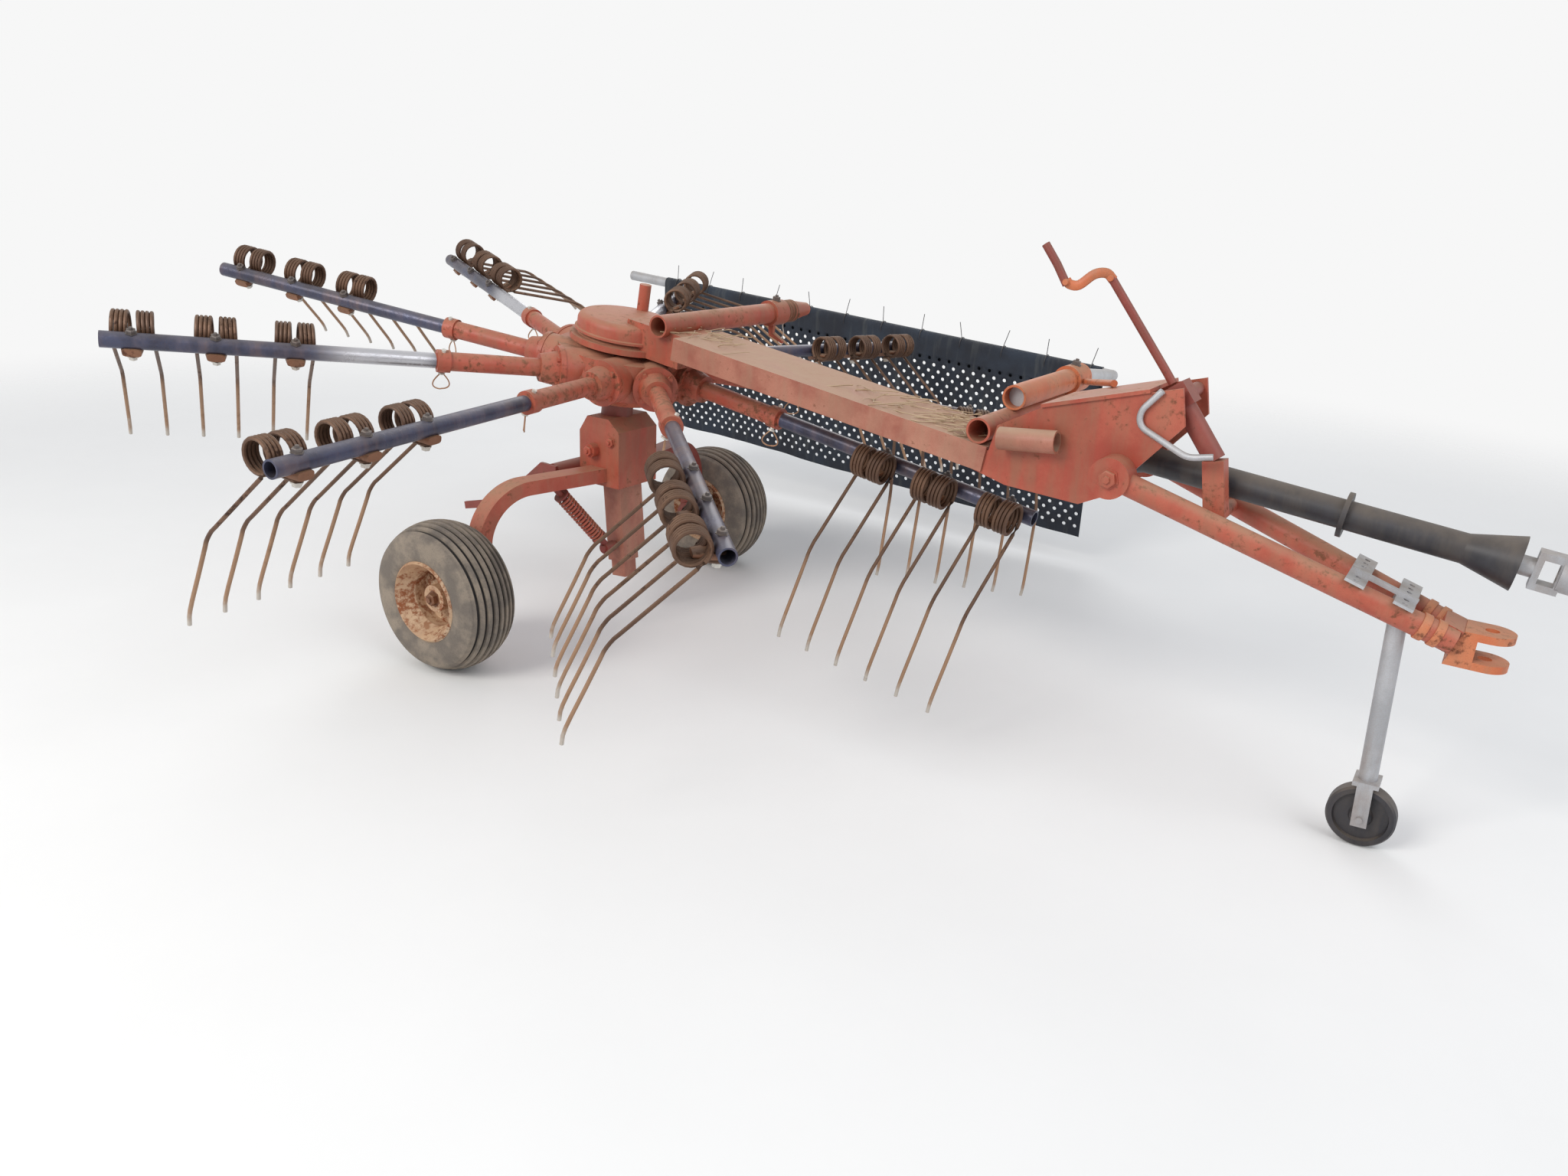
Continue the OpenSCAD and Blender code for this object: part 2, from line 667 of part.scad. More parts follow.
// The crank's nut bracket; grow widens it for the room other pieces leave it
module nut_block(grow = 0)
    translate(nut_foot) aim(nut_top - nut_foot)
        translate([-nut_w / 2 - grow, -nut_w / 2 - grow, 4])
            cube([nut_w + 2 * grow, nut_w + 2 * grow, norm(nut_top - nut_foot) - 4 + grow]);

module drawbar() {
    boss_inner = plate_y + plate_t / 2 + gap;
    pin_inner = plate_y - plate_t / 2 - 6;
    color(red) machine() {
        drawbar_frame() {
            for (s = [-1, 1]) {
                bar([0, s * pivot_half, 0], [drawbar_len, s * drawbar_end_y, 0], drawbar_d);
                translate([0, s * boss_inner, 0]) rotate([-s * 90, 0, 0])
                    cylinder(d = pivot_boss_d, h = pivot_half + drawbar_d / 2 - boss_inner, $fn = 48);
                translate([0, s * pin_inner, 0]) rotate([-s * 90, 0, 0])
                    cylinder(d = pivot_d, h = boss_inner - pin_inner + 20, $fn = 48);
            }
            // cross member under the crank's nut bracket
            bar([nut_s, -drawbar_half(nut_s), 0], [nut_s, drawbar_half(nut_s), 0], 30);
            translate([drawbar_len - 34, -drawbar_end_y - 3, -drawbar_d / 2 - 2])
                cube([40, 2 * drawbar_end_y + 6, drawbar_d + 4]);
        }
        nut_block();
    }
}

clevis_gap = 44;
clevis_t = 16;
clevis_w = 86;
module hitch_clevis() {
    rear = drawbar_end[0] - 12;
    color(hitch_orange) machine() difference() {
        union() {
            translate([rear, -clevis_w / 2, hitch_h - clevis_gap / 2 - clevis_t])
                cube([hitch_x - 36 - rear + clevis_t, clevis_w, clevis_gap + 2 * clevis_t]);
            for (z = [hitch_h - clevis_gap / 2 - clevis_t, hitch_h + clevis_gap / 2]) {
                translate([rear + 10, -clevis_w / 2, z]) cube([hitch_x - rear - 10, clevis_w, clevis_t]);
                translate([hitch_x, 0, z]) cylinder(d = clevis_w, h = clevis_t, $fn = 64);
            }
        }
        translate([hitch_x, 0, 0]) cylinder(d = hitch_bore, h = 2 * hitch_h, $fn = 48);
        machine_drawbar_cut();
    }
}

// Room for the drawbar's front end behind the clevis
module machine_drawbar_cut()
    drawbar_frame() translate([-200, -200, -100]) cube([drawbar_len + 200 + 6 + gap, 400, 200]);

// Crank that sets the working height

block_at = [1588, nut_y, 914];
crank_sleeve_d = 44;
module crank_housing() {
    axis = (nut_top - block_at) / norm(nut_top - block_at);
    color([0.30, 0.12, 0.11]) machine() difference() {
        union() {
            bar([block_at[0], -plate_y + plate_t / 2 + gap, block_at[2]],
                [block_at[0], plate_y - plate_t / 2 - gap, block_at[2]], 30);
            translate(block_at) aim(axis) translate([-28, -28, -26]) cube([56, 56, 52]);
            bar(block_at, nut_top, crank_sleeve_d);
        }
        nut_block(gap);
    }
}

crank_rod_d = 26;
module height_crank() {
    axis = (block_at - nut_top) / norm(block_at - nut_top);
    base = block_at + axis * (26 + gap);
    elbow = [1415, -80, 1143];
    color(dark_red) machine()
        bent_rod([base, base + axis * 30, elbow, [1380, -90, 1152], [1352, -96, 1120], [1326, -100, 1128],
                  [1270, -104, 1202]], crank_rod_d - 4);
}

// Driveline guard, yoke and the rod that holds them up
module driveline_guard() {
    color(guard_black) machine() translate(guard_rear) aim(guard_axis) difference() {
        union() {
            cylinder(d1 = 116, d2 = guard_d, h = 84, $fn = 48);
            cylinder(d = guard_d, h = norm(guard_front - guard_rear), $fn = 48);
            translate([0, 0, 500]) cylinder(d = guard_d + 34, h = 10, $fn = 48);
            translate([0, 0, norm(guard_front - guard_rear) - 96]) cylinder(d1 = guard_d, d2 = 112, h = 96, $fn = 48);
        }
        translate([0, 0, -1]) cylinder(d = shaft_d + 2 * gap, h = 63, $fn = 40);
    }
}

yoke_bore = 35;
module driveline_yoke() {
    color(zinc) machine() translate(guard_front + guard_axis * gap) aim(guard_axis) difference() {
        union() {
            cylinder(d = 40, h = 26, $fn = 40);
            translate([-38, -20, 25]) cube([76, 40, 12]);
            for (s = [-1, 1])
                translate([s * 31 - 7, -20, 30]) cube([14, 40, 40]);
            translate([0, 0, 69]) cylinder(d = 66, h = 42, $fn = 48);
            translate([-38, -20, 66]) cube([76, 40, 10]);
        }
        translate([0, 0, 60]) cylinder(d = yoke_bore, h = 60, $fn = 48);
    }
}

hook_d = 14;
module driveline_hook() {
    y = -plate_y - plate_t / 2 - gap - hook_d / 2;
    color(zinc) machine()
        bent_rod([[1566, y, 930], [1526, y, 881], [1530, y, 850], [1638, y, 800], [1688, y + 6, 809]], hook_d);
}

// Parking jack between the drawbar tubes, let down and leaning on its stop

strip_s = [520, 618];
strip_w = 40;
strip_t = 6;
jack_s = strip_s[1];
jack_lean = 3;
jack_d = 38;
jack_pin_d = 16;
jack_cheek_t = 6;
cheek_y = 24;
jack_wheel_w = 40;
jack_axle_d = 14;
jack_hinge = pivot_at + [jack_s * cos(drawbar_slope), 0, -jack_s * sin(drawbar_slope)];
jack_len = (jack_hinge[2] - jack_wheel_d / 2) / cos(jack_lean);
module jack_bracket() {
    color(zinc) machine() drawbar_frame() {
        for (s = strip_s) {
            half = drawbar_half(s) + drawbar_d / 2 + 6;
            difference() {
                translate([s - strip_w / 2, -half, drawbar_d / 2 + gap]) cube([strip_w, 2 * half, strip_t]);
                for (y = [-half + 14 : 28 : half - 10])
                    translate([s, y, 0]) cylinder(d = 11, h = 100, $fn = 24);
            }
        }
        // rail that ties the two strips together
        translate([strip_s[0] - strip_w / 2, -46, drawbar_d / 2 + gap + strip_t - eps])
            cube([strip_s[1] - strip_s[0] + strip_w, 12, 10]);
        for (side = [-1, 1])
            translate([jack_s - 20, side * (cheek_y + jack_cheek_t / 2) - jack_cheek_t / 2, -24])
                cube([40, jack_cheek_t, drawbar_d / 2 + gap + 24 + eps]);
        bar([jack_s, -cheek_y - jack_cheek_t, 0], [jack_s, cheek_y + jack_cheek_t, 0], jack_pin_d);
    }
}

module jack_frame() translate(jack_hinge) rotate([0, -jack_lean, 0]) children();
fork_y = jack_wheel_w / 2 + 6;
fork_t = 6;
module jack_leg() {
    wheel_r = jack_wheel_d / 2;
    fork_top = -jack_len + wheel_r + 14;
    color(zinc) machine() jack_frame() {
        difference() {
            union() {
                translate([0, 0, fork_top]) cylinder(d = jack_d, h = -fork_top, $fn = 40);
                translate([0, -jack_d / 2, 0]) rotate([-90, 0, 0]) cylinder(d = jack_d, h = jack_d, $fn = 40);
                translate([-26, -fork_y - fork_t, fork_top - 8]) cube([52, 2 * (fork_y + fork_t), 10]);
                for (side = [-1, 1])
                    translate([-16, side * (fork_y + fork_t / 2) - fork_t / 2, -jack_len - 18])
                        cube([32, fork_t, wheel_r + 26]);
            }
            bar([0, -60, 0], [0, 60, 0], jack_pin_d + 2 * gap);
        }
        bar([0, -fork_y - fork_t - 6, -jack_len], [0, fork_y + fork_t + 6, -jack_len], jack_axle_d);
    }
}

module jack_wheel() {
    color(tyre_grey) machine() jack_frame() translate([0, 0, -jack_len]) rotate([90, 0, 0])
        rotate_extrude($fn = 64) polygon([
            [jack_axle_d / 2 + gap, -jack_wheel_w / 2], [jack_axle_d / 2 + 14, -jack_wheel_w / 2],
            [jack_axle_d / 2 + 18, -jack_wheel_w / 4], [jack_wheel_d / 2 - 16, -jack_wheel_w / 4],
            [jack_wheel_d / 2 - 14, -jack_wheel_w / 2], [jack_wheel_d / 2 - 4, -jack_wheel_w / 2],
            [jack_wheel_d / 2, -jack_wheel_w / 2 + 6], [jack_wheel_d / 2, jack_wheel_w / 2 - 6],
            [jack_wheel_d / 2 - 4, jack_wheel_w / 2], [jack_wheel_d / 2 - 14, jack_wheel_w / 2],
            [jack_wheel_d / 2 - 16, jack_wheel_w / 4], [jack_axle_d / 2 + 18, jack_wheel_w / 4],
            [jack_axle_d / 2 + 14, jack_wheel_w / 2], [jack_axle_d / 2 + gap, jack_wheel_w / 2]]);
}

// Swath curtain on its bent rail, which slides in the holder tube

holder_at = head_point([holder_x, 0, holder_z]);
rail_inner_y = holder_near + 30;
rail_ring_w = 20;
rail_bend_y = holder_far + holder_collar + 26;
rail_corner = [975, curtain_y, 705];
rail_rear = [-1220, curtain_y, 855];
module curtain_rail() {
    inner = [holder_at[0], rail_inner_y, holder_at[2]];
    color(zinc) machine() {
        bent_rod([inner, [holder_at[0], rail_bend_y, holder_at[2]], rail_corner, rail_rear], rail_d);
        bar(inner, inner + [0, rail_ring_w, 0], rail_ring_d, 48);
    }
}

curtain_front = 940;
module swath_curtain() {
    rail_slope = (rail_rear[2] - rail_corner[2]) / (rail_rear[0] - rail_corner[0]);
    function top_at(x) = rail_corner[2] + rail_slope * (x - rail_corner[0])
        - rail_d / 2 * sqrt(1 + rail_slope * rail_slope) - gap;
    rear = curtain_front - curtain_len;
    color(curtain_black) machine() side_plate([
        [rear, top_at(rear) - curtain_h], [curtain_front, top_at(curtain_front) - curtain_h],
        [curtain_front, top_at(curtain_front)], [rear, top_at(rear)]], curtain_y, curtain_t);
}

for (k = [1:arm_count]) {
    tine_arm(k);
    tine_set(k);
}
rotor_hub();
hub_cover();
mast_neck();
mast_head();
mast();
suspension_spring();
axle_tube();
right_wheel_arm();
left_wheel_arm();
guard_bar();
tyre(-wheel_y);  // right_tyre
rim(-wheel_y, -1);  // right_rim
tyre(wheel_y);  // left_tyre
rim(wheel_y, 1);  // left_rim
main_beam();
rear_cross_tube();
front_cross_tube();
curtain_holder();
storage_tube();
frame_head();
drawbar();
hitch_clevis();
height_crank();
crank_housing();
driveline_guard();
driveline_yoke();
driveline_hook();
jack_bracket();
jack_leg();
jack_wheel();
curtain_rail();
swath_curtain();
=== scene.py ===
"""Looks of a parked rotary hay rake: faded paint, wire tines, ribbed tyres and a perforated curtain."""
import math

import bpy
import numpy as np
from mathutils import Matrix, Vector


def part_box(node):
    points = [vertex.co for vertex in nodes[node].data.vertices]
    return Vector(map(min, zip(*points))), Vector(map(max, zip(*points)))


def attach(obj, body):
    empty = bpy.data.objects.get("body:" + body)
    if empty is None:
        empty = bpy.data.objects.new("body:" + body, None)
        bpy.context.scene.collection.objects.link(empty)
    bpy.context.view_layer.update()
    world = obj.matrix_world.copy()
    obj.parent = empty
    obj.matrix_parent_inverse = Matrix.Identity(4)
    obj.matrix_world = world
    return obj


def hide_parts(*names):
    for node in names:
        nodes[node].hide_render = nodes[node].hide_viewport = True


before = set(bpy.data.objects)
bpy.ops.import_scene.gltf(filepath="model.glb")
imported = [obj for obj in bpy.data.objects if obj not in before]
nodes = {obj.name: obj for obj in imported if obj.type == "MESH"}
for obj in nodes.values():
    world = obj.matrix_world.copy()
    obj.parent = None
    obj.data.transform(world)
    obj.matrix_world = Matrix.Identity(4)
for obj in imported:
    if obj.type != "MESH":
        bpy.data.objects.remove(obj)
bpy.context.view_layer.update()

# Sizes of the machine in millimetres, as in the part's source; the knee and tip of a tine are measured
# ahead and up from its coil, and the mast's top ahead and up from the machine's origin
MM = 0.001
CENTRE = np.array([504.0, 94.0, 0.0])
TILT = math.radians(8.7)
ROTOR_HEIGHT = 767.0
ARMS = 9
FIRST_AZIMUTH = 37.0
ARM_OFFSET = 70.0
JOINT_AT = 530.0
CAM_AZIMUTHS = (45, 110, 165, 275)
CAM_LIFTS = (0, 42, 42, 0)
WIRE = 9.5
WIND_PITCH = WIRE + 0.15
COIL_RADIUS = 37.0
COIL_BACK = 64.95
TINE_PITCH = 90.0
TINE_KNEE = np.array([-140.0, -215.0])
TINE_TIP = np.array([-207.0, -452.0])
PAIR_MIDDLES = (1233.0, 1053.0, 873.0)
WHEEL_X = -100.0
WHEEL_Y = 600.0
WHEEL_R = 205.0
TYRE_WIDTH = 165.0
RIM_RADIUS = 103.0
WHEEL_ARM_SWEEP = math.atan(100 / 475.5)
MAST_LEAN = math.radians(5)
MAST_TOP = (-15.0, 425.0)
PIVOT = (1482.0, 0.0, 197.0)
REAR_CROSS_TUBE = np.array([186.0, 0.0, 173.0])
CRANK_BLOCK = np.array([1588.0, -50, 914])
RAIL_CORNER = np.array([975.0, 1485.0, 705.0])
RAIL_REAR = np.array([-1220.0, 1485.0, 855.0])
RAIL_SLOPE = (RAIL_REAR[2] - RAIL_CORNER[2]) / (RAIL_REAR[0] - RAIL_CORNER[0])
CURTAIN_FRONT = 940.0
CURTAIN_LENGTH = 1960.0
CURTAIN_HEIGHT = 580.0

ALONG_Y = np.array([0.0, 1.0, 0.0])
UPWARDS = np.array([0.0, 0.0, 1.0])


# Places

def on_machine(points):
    """Machine millimetres to frame metres: the machine's centre is taken off and the rest is scaled."""
    return (np.asarray(points, float) - CENTRE) * MM


def on_head(points):
    """The head's frame to machine millimetres: turned about Y by the tilt, lifted to the rotor's height."""
    p = np.asarray(points, float)
    x = p[..., 0] * math.cos(TILT) + p[..., 2] * math.sin(TILT)
    z = p[..., 2] * math.cos(TILT) - p[..., 0] * math.sin(TILT) + ROTOR_HEIGHT
    return np.stack([x, p[..., 1], z], axis=-1)


def azimuth(arm):
    """Angle of an arm round the rotor, counter-clockwise from straight ahead, in degrees."""
    return FIRST_AZIMUTH + (arm - 1) * 360 / ARMS


def cam_lift(arm):
    """Turn that the cam gives an arm, in degrees: straight ramps up and down between level stretches."""
    return float(np.interp(azimuth(arm) % 360, CAM_AZIMUTHS, CAM_LIFTS))


def on_arm(points, arm, lifted=True):
    """An arm's frame, x outwards and y ahead, to machine millimetres.

    The points are turned about x by the cam, set off from the rotor's axis and turned to the azimuth.
    """
    p = np.asarray(points, float)
    lift = math.radians(-cam_lift(arm) if lifted else 0.0)
    y = p[..., 1] * math.cos(lift) - p[..., 2] * math.sin(lift) + ARM_OFFSET
    z = p[..., 1] * math.sin(lift) + p[..., 2] * math.cos(lift)
    turn = math.radians(azimuth(arm))
    flat_x = p[..., 0] * math.cos(turn) - y * math.sin(turn)
    flat_y = p[..., 0] * math.sin(turn) + y * math.cos(turn)
    return on_head(np.stack([flat_x, flat_y, z], axis=-1))


def rail_height(x):
    """Height of the curtain's rail along the machine: a straight line from its corner to its rear end."""
    return RAIL_CORNER[2] + RAIL_SLOPE * (x - RAIL_CORNER[0])


# Surfaces as whole arrays

def unit(v):
    """Vectors divided by their lengths."""
    return v / np.maximum(np.linalg.norm(v, axis=-1, keepdims=True), 1e-12)


def round_angles(count):
    """Equal steps of a full turn, in radians."""
    return np.linspace(0, math.tau, count, endpoint=False)


def skin(grid, closed=False, caps=True):
    """Points and faces of a grid of rings: quads between neighbouring rings, and a face on each end ring.

    The faces are a list of index arrays, the quads first. A closed skin joins its last ring to its first.
    """
    rows, cols = grid.shape[:2]
    last = rows if closed else rows - 1
    r, c = np.meshgrid(np.arange(last), np.arange(cols), indexing="ij")
    r2, c2 = (r + 1) % rows, (c + 1) % cols
    quads = np.stack([r * cols + c, r * cols + c2, r2 * cols + c2, r2 * cols + c], axis=-1)
    faces = [quads.reshape(-1, 4)]
    if caps and not closed:
        ring = np.arange(cols)[None]
        faces += [ring[:, ::-1], ring + (rows - 1) * cols]
    return grid.reshape(-1, 3), faces


def flat_quads(rows, cols):
    """Quads of an open grid of points: each joins a point, the next in its column and their neighbours."""
    r, c = np.meshgrid(np.arange(rows - 1), np.arange(cols - 1), indexing="ij")
    first = r * cols + c
    return np.stack([first, first + cols, first + cols + 1, first + 1], axis=-1).reshape(-1, 4)


def sweep(path, normals, radius, sides=8, flat=1.0):
    """A rod: at each path point a ring of the given radius across the tangent.

    Along the normal the ring is squeezed to the share flat.
    """
    path = np.asarray(path, float)
    tangent = unit(np.gradient(path, axis=0))
    side = unit(np.cross(tangent, np.broadcast_to(normals, path.shape)))
    up = np.cross(side, tangent)
    turn = round_angles(sides)
    radius = np.broadcast_to(np.asarray(radius, float), len(path))[:, None, None]
    ring = flat * up[:, None] * np.cos(turn)[None, :, None] + side[:, None] * np.sin(turn)[None, :, None]
    return skin(path[:, None] + radius * ring)


def lathe(profile, origin, axis, sides, closed=True):
    """A turned form: the profile of (radius, distance along the axis) swept round the axis."""
    axis = unit(np.asarray(axis, float))
    helper = [0.3, 0.2, 1.0] if abs(axis[2]) < 0.9 else [1.0, 0.1, 0.0]
    first = unit(np.cross(axis, helper))
    second = np.cross(axis, first)
    turn = round_angles(sides)
    profile = np.asarray(profile, float)
    radial = first * np.cos(turn)[:, None] + second * np.sin(turn)[:, None]
    grid = np.asarray(origin) + profile[:, 1, None, None] * axis + profile[:, 0, None, None] * radial
    return skin(grid, closed=closed, caps=not closed)


def smooth_path(points, steps):
    """A path through the points as a Catmull-Rom curve: each span is a cubic of its four nearest points."""
    p = np.asarray(points, float)
    p = np.vstack([2 * p[0] - p[1], p, 2 * p[-1] - p[-2]])
    t = np.linspace(0, 1, steps, endpoint=False)[:, None]
    a, b, c, d = (p[i:len(p) - 3 + i, None] for i in range(4))
    square = (2 * a - 5 * b + 4 * c - d) * t ** 2
    cube = (3 * b - a - 3 * c + d) * t ** 3
    span = 0.5 * (2 * b + (c - a) * t + square + cube)
    return np.vstack([span.reshape(-1, p.shape[1]), p[-2]])


def rounded_path(points, bend, steps=7):
    """Straight runs with rounded corners.

    Each corner is a quadratic Bezier curve that starts and ends a bend's length away from it.
    """
    p = np.asarray(points, float)
    t = np.linspace(0, 1, steps)[:, None]
    a = p[1:-1] + unit(p[:-2] - p[1:-1]) * bend
    b = p[1:-1] + unit(p[2:] - p[1:-1]) * bend
    arcs = [(1 - t) ** 2 * a[i] + 2 * t * (1 - t) * p[i + 1] + t ** 2 * b[i] for i in range(len(a))]
    return np.vstack([p[:1], *arcs, p[-1:]])


def together(parts):
    """Joins (points, faces, material number, shade) parts into one mesh's points, faces and values."""
    points, faces, numbers, shades = [], [], [], []
    start = 0
    for own, own_faces, number, shade in parts:
        points.append(np.asarray(own, float))
        shades.append(np.broadcast_to(np.asarray(shade, float), len(own)))
        for block in own_faces:
            faces += (block + start).tolist()
            numbers.append(np.full(len(block), number, dtype=np.int32))
        start += len(own)
    return np.vstack(points), faces, np.concatenate(numbers), np.concatenate(shades)


def add_object(name, data):
    """A new object in the scene, at the origin."""
    piece = bpy.data.objects.new(name, data)
    bpy.context.scene.collection.objects.link(piece)
    return piece


def make_piece(name, parts, materials, body, replaces=(), sharp=35):
    """One mesh object of the parts, in frame metres, that rides on a body and stands for CAD nodes."""
    points, faces, numbers, shades = together(parts)
    mesh = bpy.data.meshes.new(name)
    mesh.from_pydata(on_machine(points), [], faces)
    mesh.validate()
    attribute = mesh.attributes.new("shade", "FLOAT", "POINT")
    attribute.data.foreach_set("value", shades.astype(np.float32))
    for material in materials:
        mesh.materials.append(material)
    mesh.polygons.foreach_set("material_index", numbers)
    mesh.shade_smooth()
    mesh.set_sharp_from_angle(angle=math.radians(sharp))
    piece = add_object(name, mesh)
    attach(piece, body)
    if replaces:
        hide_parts(*replaces)
    return piece


# Materials

def srgb(r, g, b):
    """A display colour of 0 to 255 as linear light: the sRGB curve undone channel by channel."""
    c = np.array([r, g, b]) / 255
    linear = np.where(c <= 0.04045, c / 12.92, ((c + 0.055) / 1.055) ** 2.4)
    return (*linear.tolist(), 1.0)


class Nodes:
    """Places and joins the nodes of one material or group."""

    def __init__(self, tree):
        self.tree = tree

    def add(self, kind, **values):
        """A new node with its settings."""
        node = self.tree.nodes.new(kind)
        for key, value in values.items():
            setattr(node, key, value)
        return node

    def put(self, node, name, value):
        """Feeds an input from another node's socket, or sets it to a value."""
        socket = node.inputs[name]
        if isinstance(value, bpy.types.NodeSocket):
            self.tree.links.new(value, socket)
        else:
            socket.default_value = value

    def math(self, operation, a, b=0.0, clamp=False):
        """One sum of two values."""
        node = self.add("ShaderNodeMath", operation=operation, use_clamp=clamp)
        self.put(node, 0, a)
        self.put(node, 1, b)
        return node.outputs[0]

    def mix(self, factor, a, b):
        """Two colours mixed by a factor."""
        node = self.add("ShaderNodeMix", data_type="RGBA", blend_type="MIX", clamp_factor=True)
        self.put(node, 0, factor)
        self.put(node, 6, a)
        self.put(node, 7, b)
        return node.outputs[2]

    def span(self, value, low, high, to_low=0.0, to_high=1.0):
        """A soft step from one value to another while the input goes from low to high."""
        node = self.add("ShaderNodeMapRange", clamp=True, interpolation_type="SMOOTHSTEP")
        for i, v in enumerate((value, low, high, to_low, to_high)):
            self.put(node, i, v)
        return node.outputs[0]

    def noise(self, vector, scale, detail=5.0, roughness=0.6):
        """Cloudy noise of 0 to 1."""
        node = self.add("ShaderNodeTexNoise")
        self.put(node, "Vector", vector)
        self.put(node, "Scale", scale)
        self.put(node, "Detail", detail)
        self.put(node, "Roughness", roughness)
        return node.outputs["Fac"]

    def place(self):
        """Object coordinates, in metres of the frame."""
        return self.add("ShaderNodeTexCoord").outputs["Object"]

    def stretched(self, vector, scale):
        """Coordinates multiplied axis by axis."""
        node = self.add("ShaderNodeVectorMath", operation="MULTIPLY")
        self.put(node, 0, vector)
        self.put(node, 1, scale)
        return node.outputs[0]

    def parts(self, vector):
        """The x, y and z of a vector."""
        node = self.add("ShaderNodeSeparateXYZ")
        self.put(node, 0, vector)
        return node.outputs

    def facing_up(self):
        """How far the surface looks up: the normal's z."""
        return self.parts(self.add("ShaderNodeNewGeometry").outputs["Normal"])[2]

    def shade(self):
        """The shade attribute of a piece's points."""
        return self.add("ShaderNodeAttribute", attribute_name="shade").outputs["Fac"]


def make_group(name, inputs, outputs):
    """An empty node group with named sockets, and its input and output nodes."""
    tree = bpy.data.node_groups.new(name, "ShaderNodeTree")
    for label, kind, value in inputs:
        socket = tree.interface.new_socket(label, in_out="INPUT", socket_type=kind)
        socket.default_value = value
    for label, kind in outputs:
        tree.interface.new_socket(label, in_out="OUTPUT", socket_type=kind)
    kit = Nodes(tree)
    return tree, kit, kit.add("NodeGroupInput").outputs, kit.add("NodeGroupOutput")


def weathering_group():
    """Faded patches, rust spots and runs, and dust that lies on faces that look up."""
    colour, number = "NodeSocketColor", "NodeSocketFloat"
    tree, kit, given, out = make_group(
        "weathering",
        [("Coat", colour, (0.5, 0.1, 0.06, 1)), ("Faded", colour, (0.6, 0.25, 0.17, 1)),
         ("Rust", colour, (0.2, 0.07, 0.03, 1)), ("Dust", colour, (0.4, 0.3, 0.2, 1)),
         ("Fading", number, 0.5), ("Rusting", number, 0.3), ("Dusting", number, 0.5)],
        [("Color", colour), ("Roughness", number), ("Height", number)])
    where = kit.place()
    patches = kit.noise(where, 7.0, 6.0, 0.65)
    streaks = kit.noise(kit.stretched(where, (26.0, 26.0, 5.0)), 1.0, 5.0, 0.6)
    spots = kit.noise(where, 60.0, 8.0, 0.7)
    grain = kit.noise(where, 420.0, 3.0, 0.6)
    clouds = kit.noise(where, 2.3, 4.0, 0.55)
    # sun-bleached patches and streaks
    fade = kit.math("MULTIPLY", kit.span(patches, 0.34, 0.62), given["Fading"])
    fade = kit.math("ADD", fade, kit.math("MULTIPLY", kit.span(streaks, 0.45, 0.7), 0.25), clamp=True)
    coat = kit.mix(fade, given["Coat"], given["Faded"])
    # fine speckle, and grime in large clouds
    coat = kit.mix(kit.math("MULTIPLY", kit.span(grain, 0.3, 0.7), 0.16), coat, given["Rust"])
    grime = kit.math("ADD", kit.math("MULTIPLY", clouds, 0.5), kit.math("MULTIPLY", streaks, 0.5))
    coat = kit.mix(kit.span(grime, 0.44, 0.66, 0.0, 0.55), coat, given["Rust"])
    # rust spots, which grow as their threshold falls
    edge = kit.math("SUBTRACT", 0.74, kit.math("MULTIPLY", given["Rusting"], 0.3))
    decay = kit.math("ADD", kit.math("MULTIPLY", spots, 0.62), kit.math("MULTIPLY", patches, 0.38))
    rust = kit.span(decay, kit.math("SUBTRACT", edge, 0.05), kit.math("ADD", edge, 0.05))
    coat = kit.mix(rust, coat, given["Rust"])
    # dust that lies on top, and a thin film all round
    level_share = kit.span(kit.facing_up(), 0.25, 0.95)
    lying = kit.math("MULTIPLY", level_share, kit.span(patches, 0.2, 0.6, 0.45, 1.0))
    film = kit.math("MULTIPLY", kit.span(streaks, 0.35, 0.75), 0.3)
    dust = kit.math("MULTIPLY", kit.math("ADD", lying, film), given["Dusting"], clamp=True)
    kit.put(out, "Color", kit.mix(dust, coat, given["Dust"]))
    rough = kit.math("ADD", kit.math("MULTIPLY", rust, 0.3), kit.math("MULTIPLY", dust, 0.35))
    rough = kit.math("ADD", kit.math("ADD", rough, 0.42), kit.math("MULTIPLY", patches, 0.12))
    kit.put(out, "Roughness", rough)
    relief = kit.math("MULTIPLY", rust, kit.math("ADD", 0.4, kit.math("MULTIPLY", grain, 0.6)))
    kit.put(out, "Height", kit.math("ADD", relief, kit.math("MULTIPLY", grain, 0.25)))
    return tree


WEATHERING = weathering_group()


def surface(name, metallic=0.0, specular=0.5, bump=0.0006):
    """A material with its Principled shader and the bump that its relief feeds."""
    material = bpy.data.materials.new(name)
    material.use_nodes = True
    kit = Nodes(material.node_tree)
    shader = material.node_tree.nodes["Principled BSDF"]
    shader.inputs["Metallic"].default_value = metallic
    shader.inputs["Specular IOR Level"].default_value = specular
    relief = kit.add("ShaderNodeBump")
    relief.inputs["Strength"].default_value = 0.6
    relief.inputs["Distance"].default_value = bump
    kit.put(shader, "Normal", relief.outputs[0])
    return material, kit, shader, relief


def weathered(kit, coat, faded, rust, dust, amounts):
    """The weathering group in a material, with its display colours and its fading, rusting and dusting."""
    node = kit.add("ShaderNodeGroup", node_tree=WEATHERING)
    for label, colour in zip(("Coat", "Faded", "Rust", "Dust"), (coat, faded, rust, dust)):
        kit.put(node, label, srgb(*colour))
    for label, amount in zip(("Fading", "Rusting", "Dusting"), amounts):
        kit.put(node, label, amount)
    return node.outputs


